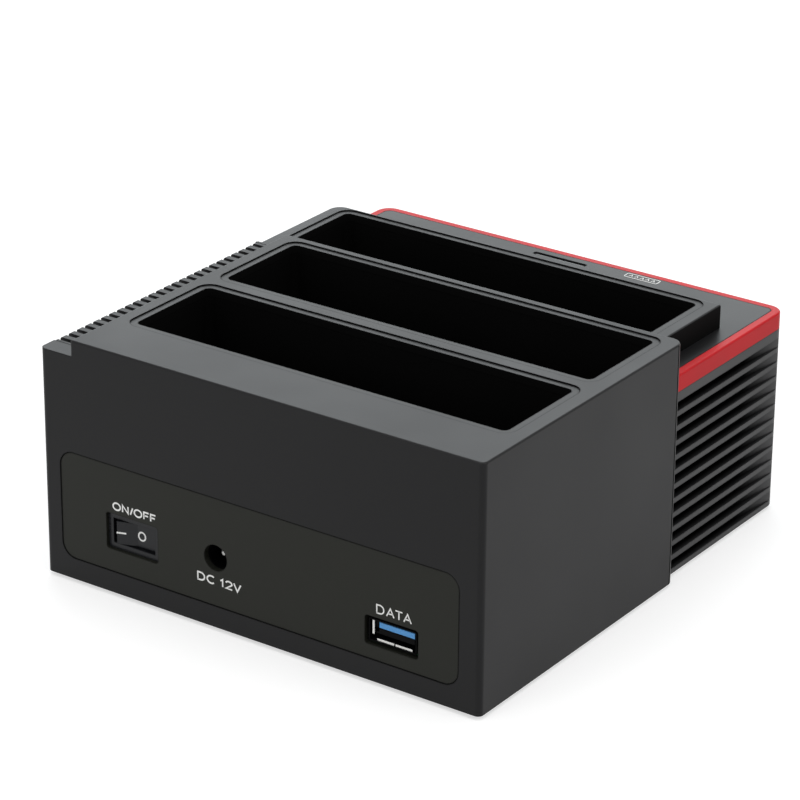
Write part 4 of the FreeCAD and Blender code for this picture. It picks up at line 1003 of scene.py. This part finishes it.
# %% Heads with a crossed recess
CROSS = [(0.32, 1.35), (-0.32, 1.35), (-0.32, 0.32), (-1.35, 0.32), (-1.35, -0.32), (-0.32, -0.32),
         (-0.32, -1.35), (0.32, -1.35), (0.32, -0.32), (1.35, -0.32), (1.35, 0.32), (0.32, 0.32)]
FACE_RISE = 0.1
RECESS_DEEP = 0.8
RECESS_TAPER = 0.6
FACE_RADIUS = 2.0
SCREW_STEPS = 28
SCREW = [(2.25, 0.25), (2.35, 0.5), (2.35, 1.3), (1.15, 1.3), (1.15, 6.2), (0.6, 6.5)]


def closed_loop(shape, points):
    """Vertices along points and the edges that close them."""
    corners = [shape.verts.new(point) for point in points]
    return corners, [shape.edges.new((a, b)) for a, b in zip(corners, corners[1:] + corners[:1])]


def add_screw(shape, x, y, z):
    """A screw that points up from its head at a place."""
    def ring(radius, rise):
        return [Vector((x, y, z)) + point for point in circle(radius * MM, rise * MM, SCREW_STEPS)]

    def cross(size, rise):
        return [(x + a * size * MM, y + b * size * MM, z + rise * MM) for a, b in CROSS]

    before, face_edges = closed_loop(shape, ring(FACE_RADIUS, FACE_RISE))
    mouth, mouth_edges = closed_loop(shape, cross(1.0, FACE_RISE))
    bmesh.ops.triangle_fill(shape, edges=face_edges + mouth_edges, use_beauty=True)
    seat = [shape.verts.new(point) for point in cross(RECESS_TAPER, FACE_RISE + RECESS_DEEP)]
    join_loops(shape, mouth, seat)
    shape.faces.new(seat)
    for radius, rise in SCREW:
        after = [shape.verts.new(point) for point in ring(radius, rise)]
        join_loops(shape, before, after)
        before = after
    shape.faces.new(before)


screw_shape = bmesh.new()
screw_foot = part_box("base_screws")[0].z
for screw_x, screw_y in screw_spots:
    add_screw(screw_shape, screw_x, screw_y, screw_foot)
bmesh.ops.recalc_face_normals(screw_shape, faces=screw_shape.faces)
screws = new_piece("crossed_screws", screw_shape, "zinc_plate", "dock")
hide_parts("base_screws")
print("faces on four screws:", len(screws.data.polygons))

# %% [markdown]
# ## Floor, lights and camera
#
# The dock stands on a plain pale floor in front of a white background. A white
# backdrop could be lit until it is white, but that light would also fall on
# the dock. Instead the floor and the sky glow only for rays that show the
# studio: those the camera sees directly, mirrored, or through clear things.

# %% The floor
FLOOR_WIDE = 6.0
FLOOR_THICK = 0.002
FLOOR_GLOW = 0.55
FLOOR_GREY = (0.6, 0.6, 0.6, 1.0)
WHITE = (1, 1, 1, 1)
paper = Finish("floor_paper", {"Base Color": FLOOR_GREY, "Roughness": 0.9, "Specular IOR Level": 0.1})
glow = paper.node("Emission", {}, {"Color": WHITE, "Strength": FLOOR_GLOW * paper.studio_rays()})
paper.join_shader("AddShader", {0: glow})
floor_shape = bmesh.new()
add_slab(floor_shape, rounded_outline(FLOOR_WIDE, FLOOR_WIDE, 2.9, 24), -FLOOR_THICK, Matrix.Identity(4))
floor = make_object("studio_floor", floor_shape, paper.material)
print("floor is", round(floor.dimensions.x, 1), "m across")

# %% [markdown]
# To every other ray the sky is a weak, even grey, which keeps the shadows from
# going black. So its strength rises from that ambient level to 1, which is
# white, for the studio's rays.

# %% The background
AMBIENT = 0.30
world = bpy.data.worlds.new("studio")
bpy.context.scene.world = world
world.use_nodes = True
sky = Nodes(world.node_tree)
sky.tree.nodes["Background"].inputs["Color"].default_value = WHITE
sky.link(AMBIENT + (1 - AMBIENT) * sky.studio_rays().least(1.0), "Background", "Strength")
print("ambient level:", AMBIENT)

# %% [markdown]
# A large soft light stands beyond the dock, as the camera sees it. Its
# reflection gives the dark deck its grey sheen, as a window does on a black
# table. Three more light it from above, from the side and from the rear. Small
# lamps would be simpler, but they leave hard bright spots on satin plastic.

# %% The lights
dock_middle = (dock_low + dock_high) / 2


def soft_light(name, spot, size, power, tint):
    """A soft rectangular light that looks at the dock."""
    lamp = bpy.data.lights.new(name, "AREA")
    lamp.color = tint
    lamp.shape = "RECTANGLE"
    lamp.size, lamp.size_y = size
    lamp.energy = power
    holder = bpy.data.objects.new(name, lamp)
    holder.location = spot
    holder.rotation_euler = (dock_middle - Vector(spot)).to_track_quat("-Z", "Y").to_euler()
    bpy.context.scene.collection.objects.link(holder)


NEUTRAL = (1.0, 1.0, 1.0)
COOL = (0.9, 0.97, 1.0)
soft_light("back_light", (0.70, -1.0, 0.60), (1.3, 0.9), 7, COOL)
soft_light("top_light", (0.0, 0.0, 1.4), (1.2, 1.2), 9, NEUTRAL)
soft_light("side_light", (-1.2, 0.0, 0.9), (0.8, 0.8), 6, NEUTRAL)
soft_light("rear_fill", (0.2, 1.3, 0.8), (0.8, 0.8), 6, NEUTRAL)

# %% [markdown]
# The camera looks down at the rear corner on the side without vents. A long
# lens from a distance keeps the perspective gentle, which suits a small
# product. Its place, lens and slight roll come from a fit: the dock's corners
# had to fall in given places of the frame.

# %% The camera
SENSOR = 36
LENS = 160.67
CAMERA_SPOT = (-0.4447, 0.6483, 0.3859)
CAMERA_AIM = Vector((0.5229, -0.7498, -0.4054))
CAMERA_ROLL = 0.49
camera_data = bpy.data.cameras.new("camera")
camera_data.sensor_width = SENSOR
camera_data.lens = LENS
camera = bpy.data.objects.new("camera", camera_data)
camera.location = CAMERA_SPOT
roll = Quaternion((0, 0, 1), math.radians(CAMERA_ROLL))
camera.rotation_mode = "QUATERNION"
camera.rotation_quaternion = CAMERA_AIM.to_track_quat("-Z", "Y") @ roll
bpy.context.scene.collection.objects.link(camera)
bpy.context.scene.camera = camera
bpy.context.scene.view_settings.view_transform = "Standard"
print("camera is", round((camera.location - dock_middle).length, 3), "m away")

# %% [markdown]
